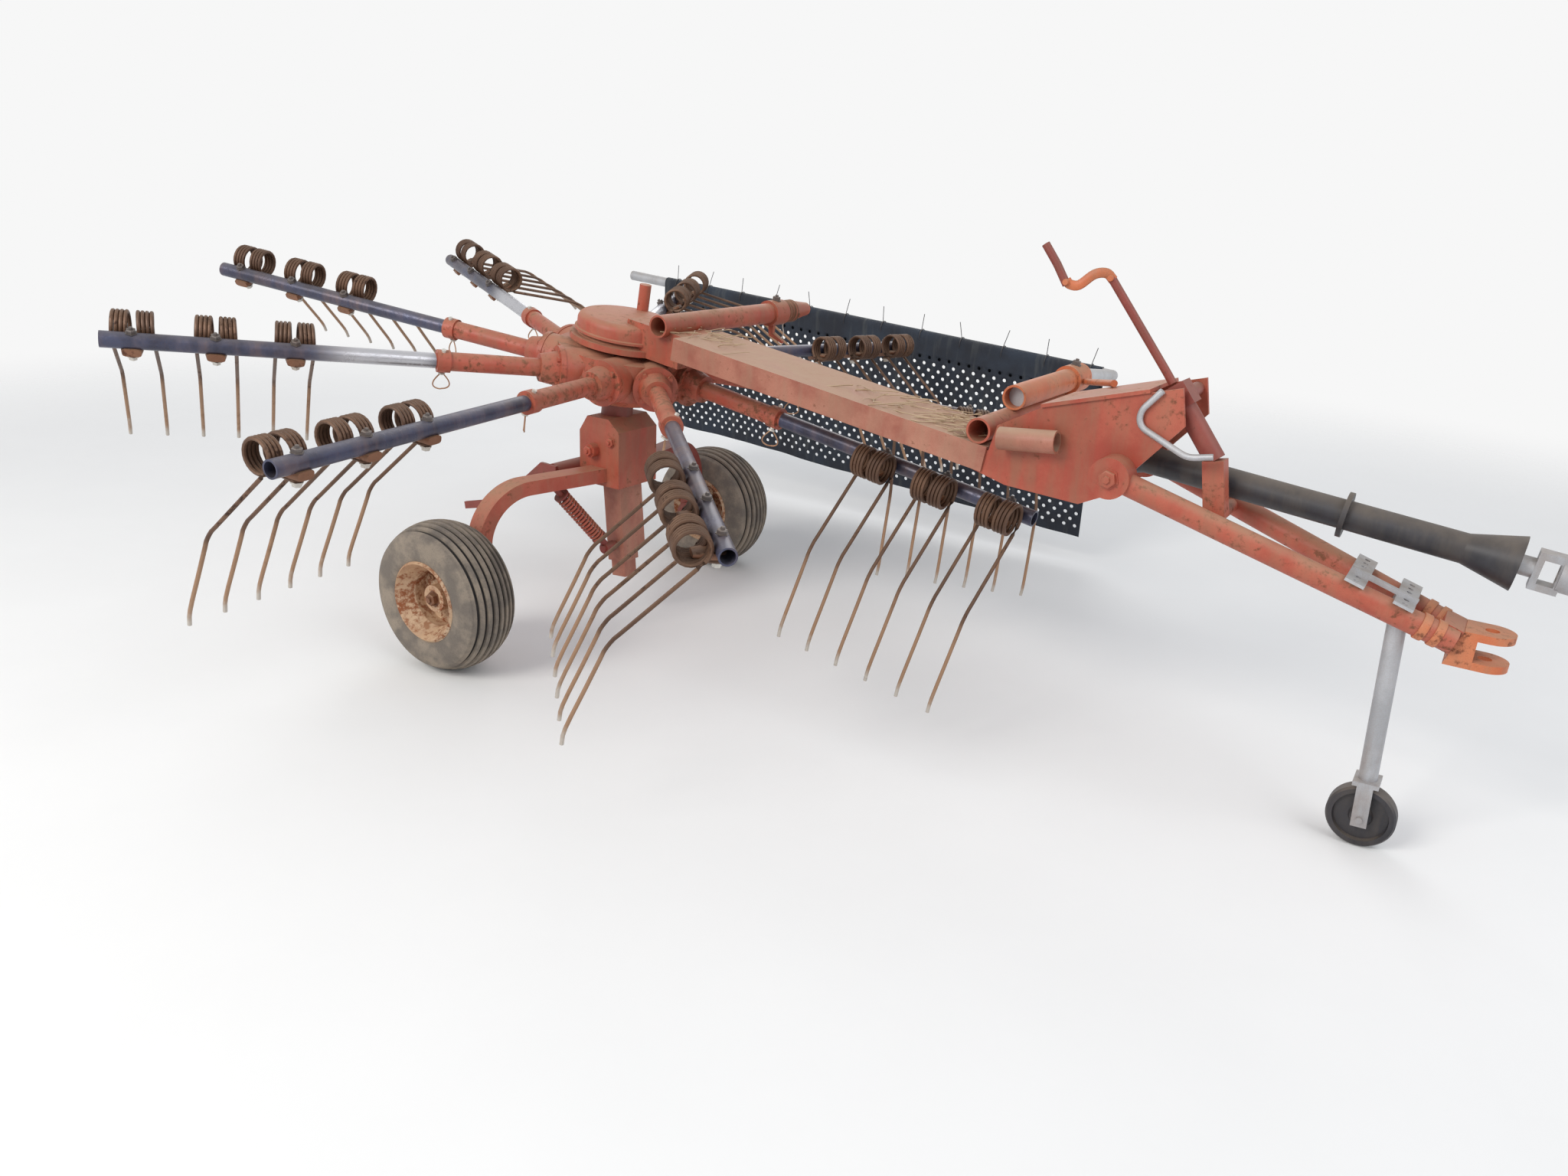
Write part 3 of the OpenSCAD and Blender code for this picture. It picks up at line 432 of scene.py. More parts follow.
def painted(name, coat, faded, rust, dust, amounts, metallic=0.0):
    """A weathered paint or metal of one coat."""
    material, kit, shader, relief = surface(name, metallic)
    worn = weathered(kit, coat, faded, rust, dust, amounts)
    kit.put(shader, "Base Color", worn["Color"])
    kit.put(shader, "Roughness", worn["Roughness"])
    kit.put(relief, "Height", worn["Height"])
    return material


# Display colours of 0 to 255 that more than one finish uses
RUST = (112, 62, 38)
DUST = (171, 140, 112)
RED = (164, 66, 48)
FADED_RED = (188, 102, 78)

# Metres from the rotor's axis: the end of the red sleeves, and where the bare stretch fades out
SLEEVE_END = 0.5398
BARE_FADES = (0.72, 0.86)


def arm_material():
    """Faded red inside the joint's radius, blue-black tube beyond it, polished where the sleeve has slid."""
    material, kit, shader, relief = surface("arm_paint")
    red = weathered(kit, RED, FADED_RED, RUST, DUST, (0.55, 0.6, 0.35))
    black = weathered(kit, (44, 48, 66), (84, 92, 122), (104, 74, 56), (128, 122, 120), (0.5, 0.2, 0.28))
    centre = kit.add("ShaderNodeVectorMath", operation="SUBTRACT")
    kit.put(centre, 0, kit.place())
    kit.put(centre, 1, (-CENTRE[0] * MM, -CENTRE[1] * MM, ROTOR_HEIGHT * MM))
    x, y, z = kit.parts(centre.outputs[0])
    ahead = kit.math("SUBTRACT", kit.math("MULTIPLY", x, math.cos(TILT)),
                     kit.math("MULTIPLY", z, math.sin(TILT)))
    squares = kit.math("ADD", kit.math("MULTIPLY", ahead, ahead), kit.math("MULTIPLY", y, y))
    radius = kit.math("SQRT", squares)
    beyond = kit.math("GREATER_THAN", radius, SLEEVE_END)
    # the bare stretch is on the two arms that slide, at the right rear and the left rear
    behind = kit.span(ahead, -0.2, -0.24)
    slid = kit.math("MULTIPLY", kit.span(radius, *BARE_FADES, 1.0, 0.0), behind)
    aside = kit.math("ABSOLUTE", kit.math("ADD", y, 0.22))
    slid = kit.math("MULTIPLY", slid, kit.span(aside, 0.13, 0.17))
    slid = kit.math("MULTIPLY", kit.math("MULTIPLY", slid, beyond), 0.85)
    worn = kit.mix(slid, black["Color"], srgb(196, 196, 200))
    kit.put(shader, "Base Color", kit.mix(beyond, red["Color"], worn))
    polish = kit.math("ADD", 0.16, kit.math("MULTIPLY", slid, 0.1))
    rough_black = kit.math("SUBTRACT", black["Roughness"], polish)
    rough_red = kit.math("MULTIPLY", kit.math("SUBTRACT", 1.0, beyond), red["Roughness"])
    kit.put(shader, "Roughness", kit.math("ADD", kit.math("MULTIPLY", beyond, rough_black), rough_red))
    metal = kit.math("ADD", kit.math("MULTIPLY", slid, 0.5), 0.35)
    kit.put(shader, "Metallic", kit.math("MULTIPLY", metal, beyond))
    kit.put(relief, "Height", red["Height"])
    return material


def tine_material():
    """Rusty spring wire: dark at the coil, tan down the leg, and bright at the tip that wears."""
    material, kit, shader, relief = surface("tine_wire", metallic=0.35)
    worn = weathered(kit, (82, 58, 44), (118, 86, 64), (58, 36, 26), (118, 98, 80), (0.7, 0.5, 0.3))
    patch = kit.noise(kit.place(), 22.0, 4.0)
    unevenness = kit.math("MULTIPLY", kit.math("SUBTRACT", patch, 0.5), 0.22)
    spread = kit.math("ADD", kit.shade(), unevenness)
    tan_share = kit.math("MULTIPLY", kit.span(spread, 0.45, 0.8), 0.55)
    lower = kit.mix(tan_share, worn["Color"], srgb(188, 150, 118))
    tip = kit.mix(kit.span(spread, 0.86, 0.98), lower, srgb(186, 178, 168))
    kit.put(shader, "Base Color", tip)
    polish = kit.math("MULTIPLY", kit.span(spread, 0.8, 1.0), 0.2)
    kit.put(shader, "Roughness", kit.math("SUBTRACT", worn["Roughness"], polish))
    kit.put(relief, "Height", worn["Height"])
    return material


def tyre_material():
    """Grey ribbed rubber, mottled and speckled, with painted shade in the bottoms of its grooves."""
    material, kit, shader, relief = surface("tyre_rubber", specular=0.3, bump=0.0008)
    where = kit.place()
    mottle = kit.noise(where, 16.0, 6.0)
    fine = kit.noise(where, 260.0, 4.0)
    base = kit.mix(kit.span(mottle, 0.35, 0.65), srgb(112, 104, 96), srgb(146, 134, 120))
    base = kit.mix(kit.math("MULTIPLY", kit.span(fine, 0.5, 0.75), 0.35), base, srgb(70, 66, 62))
    # painted shade: where the shade attribute marks a groove's bottom, the rubber is darkened to near black
    depth = kit.span(kit.shade(), 0.5, 0.85)
    groove_shade = kit.math("MULTIPLY", depth, kit.span(mottle, 0.25, 0.6, 0.8, 1.0))
    base = kit.mix(groove_shade, base, srgb(44, 42, 42))
    kit.put(shader, "Base Color", base)
    kit.put(shader, "Roughness", kit.span(mottle, 0.2, 0.8, 0.72, 0.92))
    kit.put(relief, "Height", kit.math("ADD", fine, kit.math("MULTIPLY", mottle, 0.5)))
    return material


# Radians of the threads' wave for each metre of the cut cloth
THREADS = 3600.0


def curtain_material():
    """Coated woven cloth: crossing threads under a dark coat, with bleached streaks."""
    material, kit, shader, relief = surface("curtain_cloth", specular=0.35, bump=0.0004)
    uv = kit.add("ShaderNodeUVMap", uv_map="cut").outputs[0]
    along, up, _ = kit.parts(uv)
    warp = kit.math("SINE", kit.math("MULTIPLY", along, THREADS))
    weft = kit.math("SINE", kit.math("MULTIPLY", up, THREADS))
    weave = kit.math("MULTIPLY", warp, weft)
    clouds = kit.noise(uv, 5.0, 6.0)
    runs = kit.noise(kit.stretched(uv, (30.0, 4.0, 1.0)), 1.0, 4.0)
    base = kit.mix(kit.span(clouds, 0.35, 0.7), srgb(26, 30, 40), srgb(46, 54, 66))
    base = kit.mix(kit.math("MULTIPLY", kit.span(runs, 0.5, 0.75), 0.4), base, srgb(92, 94, 92))
    kit.put(shader, "Base Color", base)
    kit.put(shader, "Roughness", kit.span(clouds, 0.2, 0.8, 0.5, 0.75))
    kit.put(relief, "Height", weave)
    return material


# Each finish: the material's name, its coat, faded coat, rust and dust, how much it has faded, rusted
# and gathered dust, and how metallic it is
FINISHES = {
    "red": ("red_paint", RED, FADED_RED, RUST, DUST, (0.6, 0.5, 0.5), 0.0),
    "dusty": ("dusty_paint", (150, 84, 68), (186, 128, 106), RUST, (178, 146, 122), (0.7, 0.4, 0.85), 0.0),
    # the dark coat is a darker red, and where it stands for red in shade, as on the left wheel arm, it is
    # painted shade
    "dark": ("dark_paint", (126, 48, 42), (158, 80, 66), (84, 46, 32), (136, 108, 90),
             (0.5, 0.4, 0.45), 0.0),
    # the orange coat is an orange-ish paint, as on the curtain holder; on the hitch clevis its orange is
    # painted sunlight
    "orange": ("orange_paint", (198, 96, 50), (206, 134, 94), (118, 64, 38), DUST, (0.6, 0.5, 0.45), 0.0),
    "rim": ("rim_paint", (206, 174, 138), (222, 200, 172), (138, 78, 44), (182, 150, 118),
            (0.6, 0.75, 0.4), 0.0),
    "iron": ("cast_lug", (120, 78, 54), (150, 104, 76), (86, 48, 30), (156, 130, 104),
             (0.7, 0.6, 0.4), 0.2),
    "nut": ("dark_nut", (84, 80, 80), (120, 116, 114), (92, 62, 44), (136, 124, 112),
            (0.5, 0.35, 0.3), 0.4),
    "zinc": ("galvanised", (168, 170, 174), (200, 202, 206), (120, 92, 70), (160, 150, 136),
             (0.6, 0.2, 0.3), 0.55),
    "bolt": ("plated_bolt", (206, 204, 198), (224, 222, 214), (128, 96, 66), (176, 166, 150),
             (0.5, 0.25, 0.2), 0.5),
    "guard": ("guard_plastic", (34, 34, 40), (62, 62, 70), (52, 44, 38), (132, 120, 106),
              (0.5, 0.15, 0.4), 0.0),
    "clip": ("clip_wire", (158, 112, 80), (196, 168, 140), (112, 66, 40), DUST, (0.5, 0.4, 0.2), 0.4),
    "straw": ("straw", (176, 150, 116), (206, 186, 156), (118, 88, 60), (184, 160, 132),
              (0.7, 0.3, 0.2), 0.0),
}
MATERIALS = {finish: painted(*values) for finish, values in FINISHES.items()}
MATERIALS["arm"] = arm_material()
MATERIALS["tine"] = tine_material()
MATERIALS["tyre"] = tyre_material()
MATERIALS["curtain"] = curtain_material()

# The nodes of the CAD model that stay visible, by their finish
COATS = {
    "red": ["rotor_hub", "hub_cover", "mast_head", "right_wheel_arm", "rear_cross_tube", "front_cross_tube",
            "frame_head", "drawbar"],
    "dusty": ["main_beam", "storage_tube", "mast"],
    # painted shade: the left wheel arm takes the dark coat for its red in shade, while the right wheel arm
    # is red
    "dark": ["mast_neck", "left_wheel_arm", "axle_tube", "guard_bar", "crank_housing"],
    # painted sunlight: the hitch clevis takes the orange coat for its paint in sun
    "orange": ["hitch_clevis", "curtain_holder"],
    "rim": ["right_rim", "left_rim"],
    "zinc": ["driveline_yoke", "jack_bracket", "jack_leg", "curtain_rail"],
    "guard": ["driveline_guard", "jack_wheel"],
    "arm": [f"tine_arm_{k}" for k in range(1, ARMS + 1)],
}
for coat, names in COATS.items():
    for node_name in names:
        node_mesh = nodes[node_name].data
        node_mesh.materials.clear()
        node_mesh.materials.append(MATERIALS[coat])


# Tines

COIL_STEPS = 22
TINE_SIDES = 8
LEAD_END = COIL_BACK - 6.0

# Turned profiles, here and below, as (radius, distance along the axis)
CLAMP_BOLT = [(0.2, -52.0), (9.0, -52.0), (10.2, -50.5), (10.4, -44.0), (13.5, -43.8), (13.5, -41.0),
              (5.0, -41.0), (5.0, -22.0), (0.2, -22.0)]
CLAMP_NUT = [(0.2, 17.0), (14.0, 19.4), (14.0, 21.5), (11.0, 21.6), (11.5, 22.0), (11.5, 28.0),
             (10.0, 29.5), (5.0, 29.5), (4.6, 35.0), (0.2, 35.5)]


def tine_wire(middle, side):
    """Centre line of half a double tine in its arm's frame, with its outward normals.

    From the bolt the wire runs back under the tube, winds 3 turns and a part about the coil's axis while
    it moves outwards by a wire's width a turn, leaves on the tube's side along the tangent, and bends at
    the knee. The last value says how far down the leg each point lies.
    """
    bottom = math.radians(270)
    leave = math.atan2(TINE_KNEE[1], TINE_KNEE[0]) + math.acos(COIL_RADIUS / np.hypot(*TINE_KNEE))
    turns = 3 + (bottom - (leave % math.tau - math.tau)) / math.tau
    phi = bottom - np.linspace(0, turns, int(turns * COIL_STEPS)) * math.tau
    coil_out = TINE_PITCH / 2
    coil_in = coil_out - turns * WIND_PITCH
    x = np.linspace(coil_in, coil_out, len(phi))
    coil = np.column_stack([x, COIL_RADIUS * np.cos(phi), COIL_RADIUS * np.sin(phi)])
    coil_normals = np.column_stack([0 * phi, np.cos(phi), np.sin(phi)])
    lead_points = [(0.0, LEAD_END + 9), (6.5, LEAD_END + 6.5), (9.0, LEAD_END), (8.0, 0.5 * LEAD_END),
                   (coil_in, 8.0)]
    lead = smooth_path([(*point, -COIL_RADIUS) for point in lead_points], 4)[:-1]
    lead_normals = np.tile([0.0, 0.0, -1.0], (len(lead), 1))
    end = coil[-1, 1:]
    bend = TINE_KNEE + (TINE_TIP - TINE_KNEE) * 0.84 + [-7.0, 0.0]
    upper = unit(TINE_KNEE - end)
    lower = unit(bend - TINE_KNEE)
    leg = smooth_path([end + upper * 20, end + upper * 110,
                       TINE_KNEE - upper * 36, TINE_KNEE - upper * 14,
                       TINE_KNEE + lower * 14, TINE_KNEE + lower * 36,
                       TINE_KNEE + lower * 110, bend, TINE_TIP], 3)
    direction = unit(np.gradient(leg, axis=0))
    leg_normals = np.column_stack([np.zeros(len(leg)), direction[:, 1], -direction[:, 0]])
    path = np.vstack([lead, coil, np.column_stack([np.full(len(leg), coil_out), leg])])
    normals = np.vstack([lead_normals, coil_normals, leg_normals])
    shade = np.concatenate([np.full(len(lead) + len(coil), 0.05), np.linspace(0.1, 1.0, len(leg))])
    path[:, 1] -= COIL_BACK
    path[:, 0] *= side
    path[:, 0] += middle
    normals[:, 0] *= side
    return path, normals, shade


def lug_plate(middle):
    """Cast lug under the tube, from the bolt back to the coils.

    Each section across it is a superellipse of the fourth power between a lower and an upper face.
    """
    y = np.linspace(-58, 22, 9)
    half = 19 + 6 * np.sin(np.linspace(0.2, 2.9, 9))
    turn = round_angles(20)
    square = 1 / (np.abs(np.cos(turn)) ** 4 + np.abs(np.sin(turn)) ** 4) ** 0.25
    low = np.interp(y, [-58, -30, 22], [-30.0, -31.5, -31.5])
    high = np.interp(y, [-58, -30, -18, 22], [-20.0, -14.0, -12.0, -12.0])
    x = middle - half[:, None] * square * np.cos(turn)
    z = (low + high)[:, None] / 2 + (high - low)[:, None] / 2 * square * np.sin(turn)
    return skin(np.stack([x, np.broadcast_to(y[:, None], x.shape), z], axis=-1))


def tine_set(arm):
    """The three double tines of an arm with their lugs, bolts and nuts."""
    parts = []

    def place(part, number, shade):
        """Puts a part of the arm's frame on the machine, with its material's number."""
        points, faces = part
        parts.append((on_arm(points, arm), faces, number, shade))

    for middle in PAIR_MIDDLES:
        for side in (1, -1):
            path, normals, shade = tine_wire(middle, side)
            place(sweep(path, normals, WIRE / 2, TINE_SIDES), 0, np.repeat(shade, TINE_SIDES))
        place(lug_plate(middle), 1, 0.0)
        bolt = (middle, -3.0, 0.0)
        place(lathe(CLAMP_BOLT, bolt, UPWARDS, 6, closed=False), 2, 0.0)
        place(lathe(CLAMP_NUT, bolt, UPWARDS, 6, closed=False), 3, 0.0)
    coats = [MATERIALS[c] for c in ("tine", "iron", "bolt", "nut")]
    return make_piece(f"tines_{arm}", parts, coats, "rotor", [f"tine_set_{arm}"])


for arm_number in range(1, ARMS + 1):
    tine_set(arm_number)


LOCKING_PIN = [(0.2, -40.0), (9.0, -39.0), (9.5, -34.0), (6.0, -33.0), (6.0, 36.0), (0.2, 37.0)]


def joint_clip(arm):
    """Locking pin through the sleeve's end with a loop of spring wire that hangs from it.

    The wire goes across by the sine of a full turn and down by the sine of half a turn, and each arm's
    loop is turned a little differently.
    """
    x = JOINT_AT - 16
    pin = lathe(LOCKING_PIN, (x, 0.0, 0.0), (0, 0.35, 1), 14, closed=False)
    swing = math.radians(35 * ((arm * 7) % 5 - 2) / 2)
    t = np.linspace(0, 1, 26)
    width = 17 * np.sin(math.pi * t) ** 0.7 * np.sign(np.cos(math.pi * t) + 1e-9)
    across = 22 * np.sin(math.tau * t)
    drop = -33 - 46 * np.sin(math.pi * t)
    ahead = -10 + across * math.sin(swing) + 0.1 * width
    loop = np.column_stack([x + across * math.cos(swing), ahead, drop])
    wire = sweep(loop, np.array([-math.sin(swing), math.cos(swing), 0.0]), 1.9, 6)
    parts = [(on_arm(points, arm, False), faces, number, 0.0)
             for number, (points, faces) in enumerate((pin, wire))]
    coats = [MATERIALS["bolt"], MATERIALS["clip"]]
    return make_piece(f"joint_clip_{arm}", parts, coats, "rotor")


for arm_number in range(1, ARMS + 1):
    joint_clip(arm_number)


# Wheels

TYRE_SIDES = 96
GROOVE_PITCH = 19.5
GROOVE_DEPTH = 8
GROOVE_WALLS = np.array([-5.0, -3.4, 3.4, 5.0])
CROWN_CURVE = 0.0042
SIDE_SHADE = 0.2


def tyre(name, y, body, node):
    """A ribbed tyre: its section swept round the wheel's axis; the shade attribute marks the grooves'
    bottoms for painted shade.

    The crown falls by the square of the distance from the tyre's middle.
    """
    half = TYRE_WIDTH / 2
    side = smooth_path([(RIM_RADIUS + 1, -half + 24), (RIM_RADIUS + 4, -half + 9),
                        (RIM_RADIUS + 16, -half + 2), (RIM_RADIUS + 34, -half), (RIM_RADIUS + 56, -half + 1),
                        (WHEEL_R - 26, -half + 7), (WHEEL_R - 22, -half + 13)], 4)
    tread, groove_shade_marks = [], []
    for i in range(-3, 4):
        walls = i * GROOVE_PITCH + GROOVE_WALLS
        crown = WHEEL_R - CROWN_CURVE * walls ** 2
        tread += list(zip(crown - [0, GROOVE_DEPTH, GROOVE_DEPTH, 0], walls))
        # marks of 0.95 at a groove's bottom call for painted shade there
        groove_shade_marks += [0.1, 0.95, 0.95, 0.1]
    inner = [(RIM_RADIUS + 0.5, half - 26), (RIM_RADIUS + 0.5, -half + 26)]
    profile = np.vstack([side, tread, side[::-1] * [1, -1], inner])
    side_marks = np.full(len(side), SIDE_SHADE)
    marks = np.concatenate([side_marks, groove_shade_marks, side_marks, [SIDE_SHADE, SIDE_SHADE]])
    points, faces = lathe(profile, (WHEEL_X, y, WHEEL_R), ALONG_Y, TYRE_SIDES)
    parts = [(points, faces, 0, np.repeat(marks, TYRE_SIDES))]
    return make_piece(name, parts, [MATERIALS["tyre"]], body, [node], sharp=50)


tyre("right_ribbed_tyre", -WHEEL_Y, "right_wheel", "right_tyre")
tyre("left_ribbed_tyre", WHEEL_Y, "left_wheel", "left_tyre")


AXLE_NUT = [(0.3, 36.0), (24.0, 36.0), (24.0, 42.5), (17.0, 42.6), (17.5, 43.0), (17.5, 55.0), (15.0, 57.0),
            (8.0, 57.0), (8.0, 62.0), (0.3, 62.5)]
WHEEL_STUD = [(0.3, 4.8), (9.2, 4.9), (9.5, 5.2), (9.5, 12.0), (8.2, 13.2), (4.0, 13.3), (4.0, 18.0),
              (0.3, 18.2)]
STUDS = 4
STUD_CIRCLE = 60


def hub_fittings(name, y, side, body):
    """Axle nut with its washer, and the studs on the wheel's disc."""
    outward = np.array([0.0, side, 0.0])
    axle = np.array([WHEEL_X, y, WHEEL_R])
    parts = [(*lathe(AXLE_NUT, axle, outward, 6, closed=False), 0, 0.0)]
    for i in range(STUDS):
        turn = math.radians(45 + 360 / STUDS * i)
        at = axle + [STUD_CIRCLE * math.cos(turn), 0, STUD_CIRCLE * math.sin(turn)]
        parts.append((*lathe(WHEEL_STUD, at, outward, 6, closed=False), 1, 0.0))
    return make_piece(name, parts, [MATERIALS["iron"], MATERIALS["clip"]], body)


hub_fittings("right_hub_fittings", -WHEEL_Y, -1, "right_wheel")
hub_fittings("left_hub_fittings", WHEEL_Y, 1, "left_wheel")


# Suspension spring

SPRING_ON_ARM = 235
SPRING_TOP_HEIGHT = 438.7
SPRING_FOOT_HEIGHT = 232.0
SPRING_TURNS = 15
SPRING_RADIUS = 18.5
SPRING_WIRE_RADIUS = 3.9
SPRING_PIN = [(0.3, -1.0), (11.0, -1.0), (11.0, 12.0), (17.0, 12.0), (17.0, 52.0), (11.0, 52.0),
              (10.0, 58.0), (0.3, 58.4)]


def coil_spring():
    """A helix of wire between two seats on a rod, from under the wheel arm to the pin on the mast.

    Its pitch varies a little: the distance along the axis has a sine of the share of the way taken off.
    """
    top = np.array([-math.sin(WHEEL_ARM_SWEEP) * SPRING_ON_ARM, -SPRING_ON_ARM, SPRING_TOP_HEIGHT])
    foot_x = MAST_TOP[0] + (MAST_TOP[1] - SPRING_FOOT_HEIGHT) * math.tan(MAST_LEAN)
    foot = np.array([foot_x, -66.0, SPRING_FOOT_HEIGHT])
    axis = unit(foot - top)
    run = float(np.linalg.norm(foot - top))
    first = unit(np.cross(axis, [1.0, 0.0, 0.0]))
    second = np.cross(axis, first)
    start, length = run * 0.14, run * 0.66
    end = start + length
    t = np.linspace(0, 1, SPRING_TURNS * 24)
    phi = math.tau * SPRING_TURNS * t
    ease = 0.04 * np.sin(math.tau * t) / math.tau
    ring = first * np.cos(phi)[:, None] + second * np.sin(phi)[:, None]
    path = top + axis * (start + length * (t - ease))[:, None] + SPRING_RADIUS * ring
    rod = [(0.2, -4.0), (9.0, -4.0), (9.0, start - 8), (23.0, start - 8), (23.0, start - 3),
           (9.0, start - 3), (9.0, end + 4), (23.0, end + 4), (23.0, end + 9), (10.0, end + 9),
           (10.0, run - 4), (0.2, run - 3)]
    parts = [(*sweep(path, ring, SPRING_WIRE_RADIUS, 8), 0, 0.3),
             (*lathe(rod, top, axis, 20, closed=False), 1, 0.0),
             (*lathe(SPRING_PIN, (foot[0], -33.0, foot[2]), -ALONG_Y, 20, closed=False), 1, 0.0)]
    return make_piece("wound_spring", parts, [MATERIALS["red"], MATERIALS["dark"]], "chassis",
                      ["suspension_spring"])


coil_spring()


# Curtain

HOLE_RADIUS = 6.6
CELL = np.array([41.7, 23.0])
HEM = 26.0
TOP_BAND = 42.0
HOLED_HEIGHT = CURTAIN_HEIGHT + 4 - HEM - TOP_BAND
RAIL_WRAP = 22.4
INNER_RUN = CURTAIN_HEIGHT + 21.0
CLOTH_THICKNESS = 0.002


def cut_cloth():
    """The flat cloth as points (along, up) and quads, with staggered rows of round holes.

    Each cell's edge has twelve points, joined by quads to the twelve points of its hole. Alternate rows are
    moved by half a cell, and plain half cells close their ends; equal points are merged afterwards.
    """
    columns = int(CURTAIN_LENGTH / CELL[0])
    width = CURTAIN_LENGTH / columns
    rows = int(HOLED_HEIGHT / CELL[1])
    height = HOLED_HEIGHT / rows
    edge = np.array([(0, 0), (0.25, 0), (0.5, 0), (0.75, 0), (1, 0), (1, 0.5), (1, 1), (0.75, 1), (0.5, 1),
                     (0.25, 1), (0, 1), (0, 0.5)]) - 0.5
    turn = np.arctan2(edge[:, 1] * height, edge[:, 0] * width)
    hole = np.column_stack([np.cos(turn), np.sin(turn)]) * HOLE_RADIUS
    cell = np.vstack([edge * [width, height], hole])
    n = len(edge)
    i = np.arange(n)
    after = (i + 1) % n
    cell_quads = np.column_stack([i, after, after + n, i + n])
    centres = []
    for row in range(rows):
        odd = row % 2
        x = (np.arange(columns - odd) + 0.5 + 0.5 * odd) * width
        centres.append(np.column_stack([x, np.full(len(x), HEM + (row + 0.5) * height)]))
    centres = np.vstack(centres)
    points = [(centres[:, None] + cell[None]).reshape(-1, 2)]
    starts = len(cell) * np.arange(len(centres))
    quads = [(cell_quads[None] + starts[:, None, None]).reshape(-1, 4)]
    count = len(points[0])

    def patch(us, vs):
        """Adds a plain rectangle of cloth with points at the given places along and up."""
        nonlocal count
        u, v = np.meshgrid(us, vs, indexing="ij")
        points.append(np.column_stack([u.ravel(), v.ravel()]))
        quads.append(flat_quads(len(us), len(vs)) + count)
        count += u.size

    for row in range(1, rows, 2):
        levels = HEM + row * height + np.array([0, 0.5, 1]) * height
        patch(np.array([0, 0.25, 0.5]) * width, levels)
        patch(CURTAIN_LENGTH - np.array([0.5, 0.25, 0]) * width, levels)
    stations = np.arange(4 * columns + 1) * width / 4
    patch(stations, np.array([0.0, 4.0, 8.0, 17.0, HEM]))
    top = HEM + rows * height
    patch(stations, top + np.concatenate([[0, 16, 32], np.arange(48, 226, 7.5)]))
    points, quads = np.vstack(points), np.vstack(quads)
    keys = np.round(points * 1000).astype(np.int64)
    _, first, back = np.unique(keys, axis=0, return_index=True, return_inverse=True)
    return points[first], back.ravel()[quads], len(centres), float(points[:, 1].max())


def hang(flat):
    """The cloth's place: up the inner side of the rail, over it in an arc, and down outside.

    Sines along the cloth give soft vertical waves, which grow with the distance below the rail.
    """
    along, up = flat[:, 0], flat[:, 1]
    x = CURTAIN_FRONT - along
    below = np.clip((INNER_RUN - up) / INNER_RUN, 0, 1)
    arc = np.clip(up - INNER_RUN, 0, math.pi * RAIL_WRAP) / RAIL_WRAP
    after = np.clip(up - INNER_RUN - math.pi * RAIL_WRAP, 0, None)
    wave = 5.5 * np.sin(along / 118 + 0.7) + 3.5 * np.sin(along / 53 + 2.0) + 2.0 * np.sin(along / 29)
    inner = np.where(up < INNER_RUN, 1.0, 0.0)
    y = RAIL_CORNER[1] - RAIL_WRAP * np.cos(arc) + inner * (wave * below ** 0.8 + 17 * below ** 1.3)
    y += 1.5 * np.minimum(after, 30) / 30
    z = rail_height(x) + RAIL_WRAP * np.sin(arc) - inner * (INNER_RUN - np.minimum(up, INNER_RUN)) - after
    z -= inner * below * 3.0 * (1 + np.sin(along / 140 + 1.1))
    return np.column_stack([x, y, z])


def curtain():
    """The perforated swath curtain as one sheet, thickened after it is hung."""
    flat, quads, holes, tall = cut_cloth()
    mesh = bpy.data.meshes.new("perforated_curtain")
    mesh.from_pydata(on_machine(hang(flat)), [], quads.tolist())
    mesh.validate()
    uv = mesh.uv_layers.new(name="cut")
    corners = np.zeros(len(mesh.loops), dtype=np.int32)
    mesh.loops.foreach_get("vertex_index", corners)
    uv.data.foreach_set("uv", (flat[corners] * MM).astype(np.float32).ravel())
    mesh.materials.append(MATERIALS["curtain"])
    mesh.shade_smooth()
    piece = add_object("perforated_curtain", mesh)
    wall = piece.modifiers.new("wall", "SOLIDIFY")
    wall.thickness = CLOTH_THICKNESS
    wall.offset = 0.0
    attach(piece, "curtain")
    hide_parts("swath_curtain")
    # the twelve corners of a hole take in about three times its radius squared
    return piece


curtain()


TIES = 12
TIE_RADIUS = 25.6


def curtain_ties():
    """Cable ties round the rail that hold the curtain, each with a stiff tail that stands up."""
    parts = []
    seeds = np.random.default_rng(4)
    turn = np.linspace(0, math.tau, 28)
    normal = np.column_stack([0 * turn, np.cos(turn), np.sin(turn)])
    for x in np.linspace(900, -960, TIES):
        middle = np.array([x, RAIL_CORNER[1], rail_height(x)])
        parts.append((*sweep(middle + TIE_RADIUS * normal, normal, 1.6, 5), 0, 0.0))
        lean = seeds.uniform(-0.5, 0.5)
        tail = np.column_stack([np.linspace(0, 22 * lean, 7), np.linspace(-9, -4 + 30 * lean, 7),
                                24.5 + np.linspace(0, 58, 7)])
        parts.append((*sweep(middle + tail, np.array([1.0, 0.0, 0.0]), 1.4, 5), 0, 0.0))
    return make_piece("curtain_ties", parts, [MATERIALS["guard"]], "curtain")


curtain_ties()


# Dome on the hub's cover

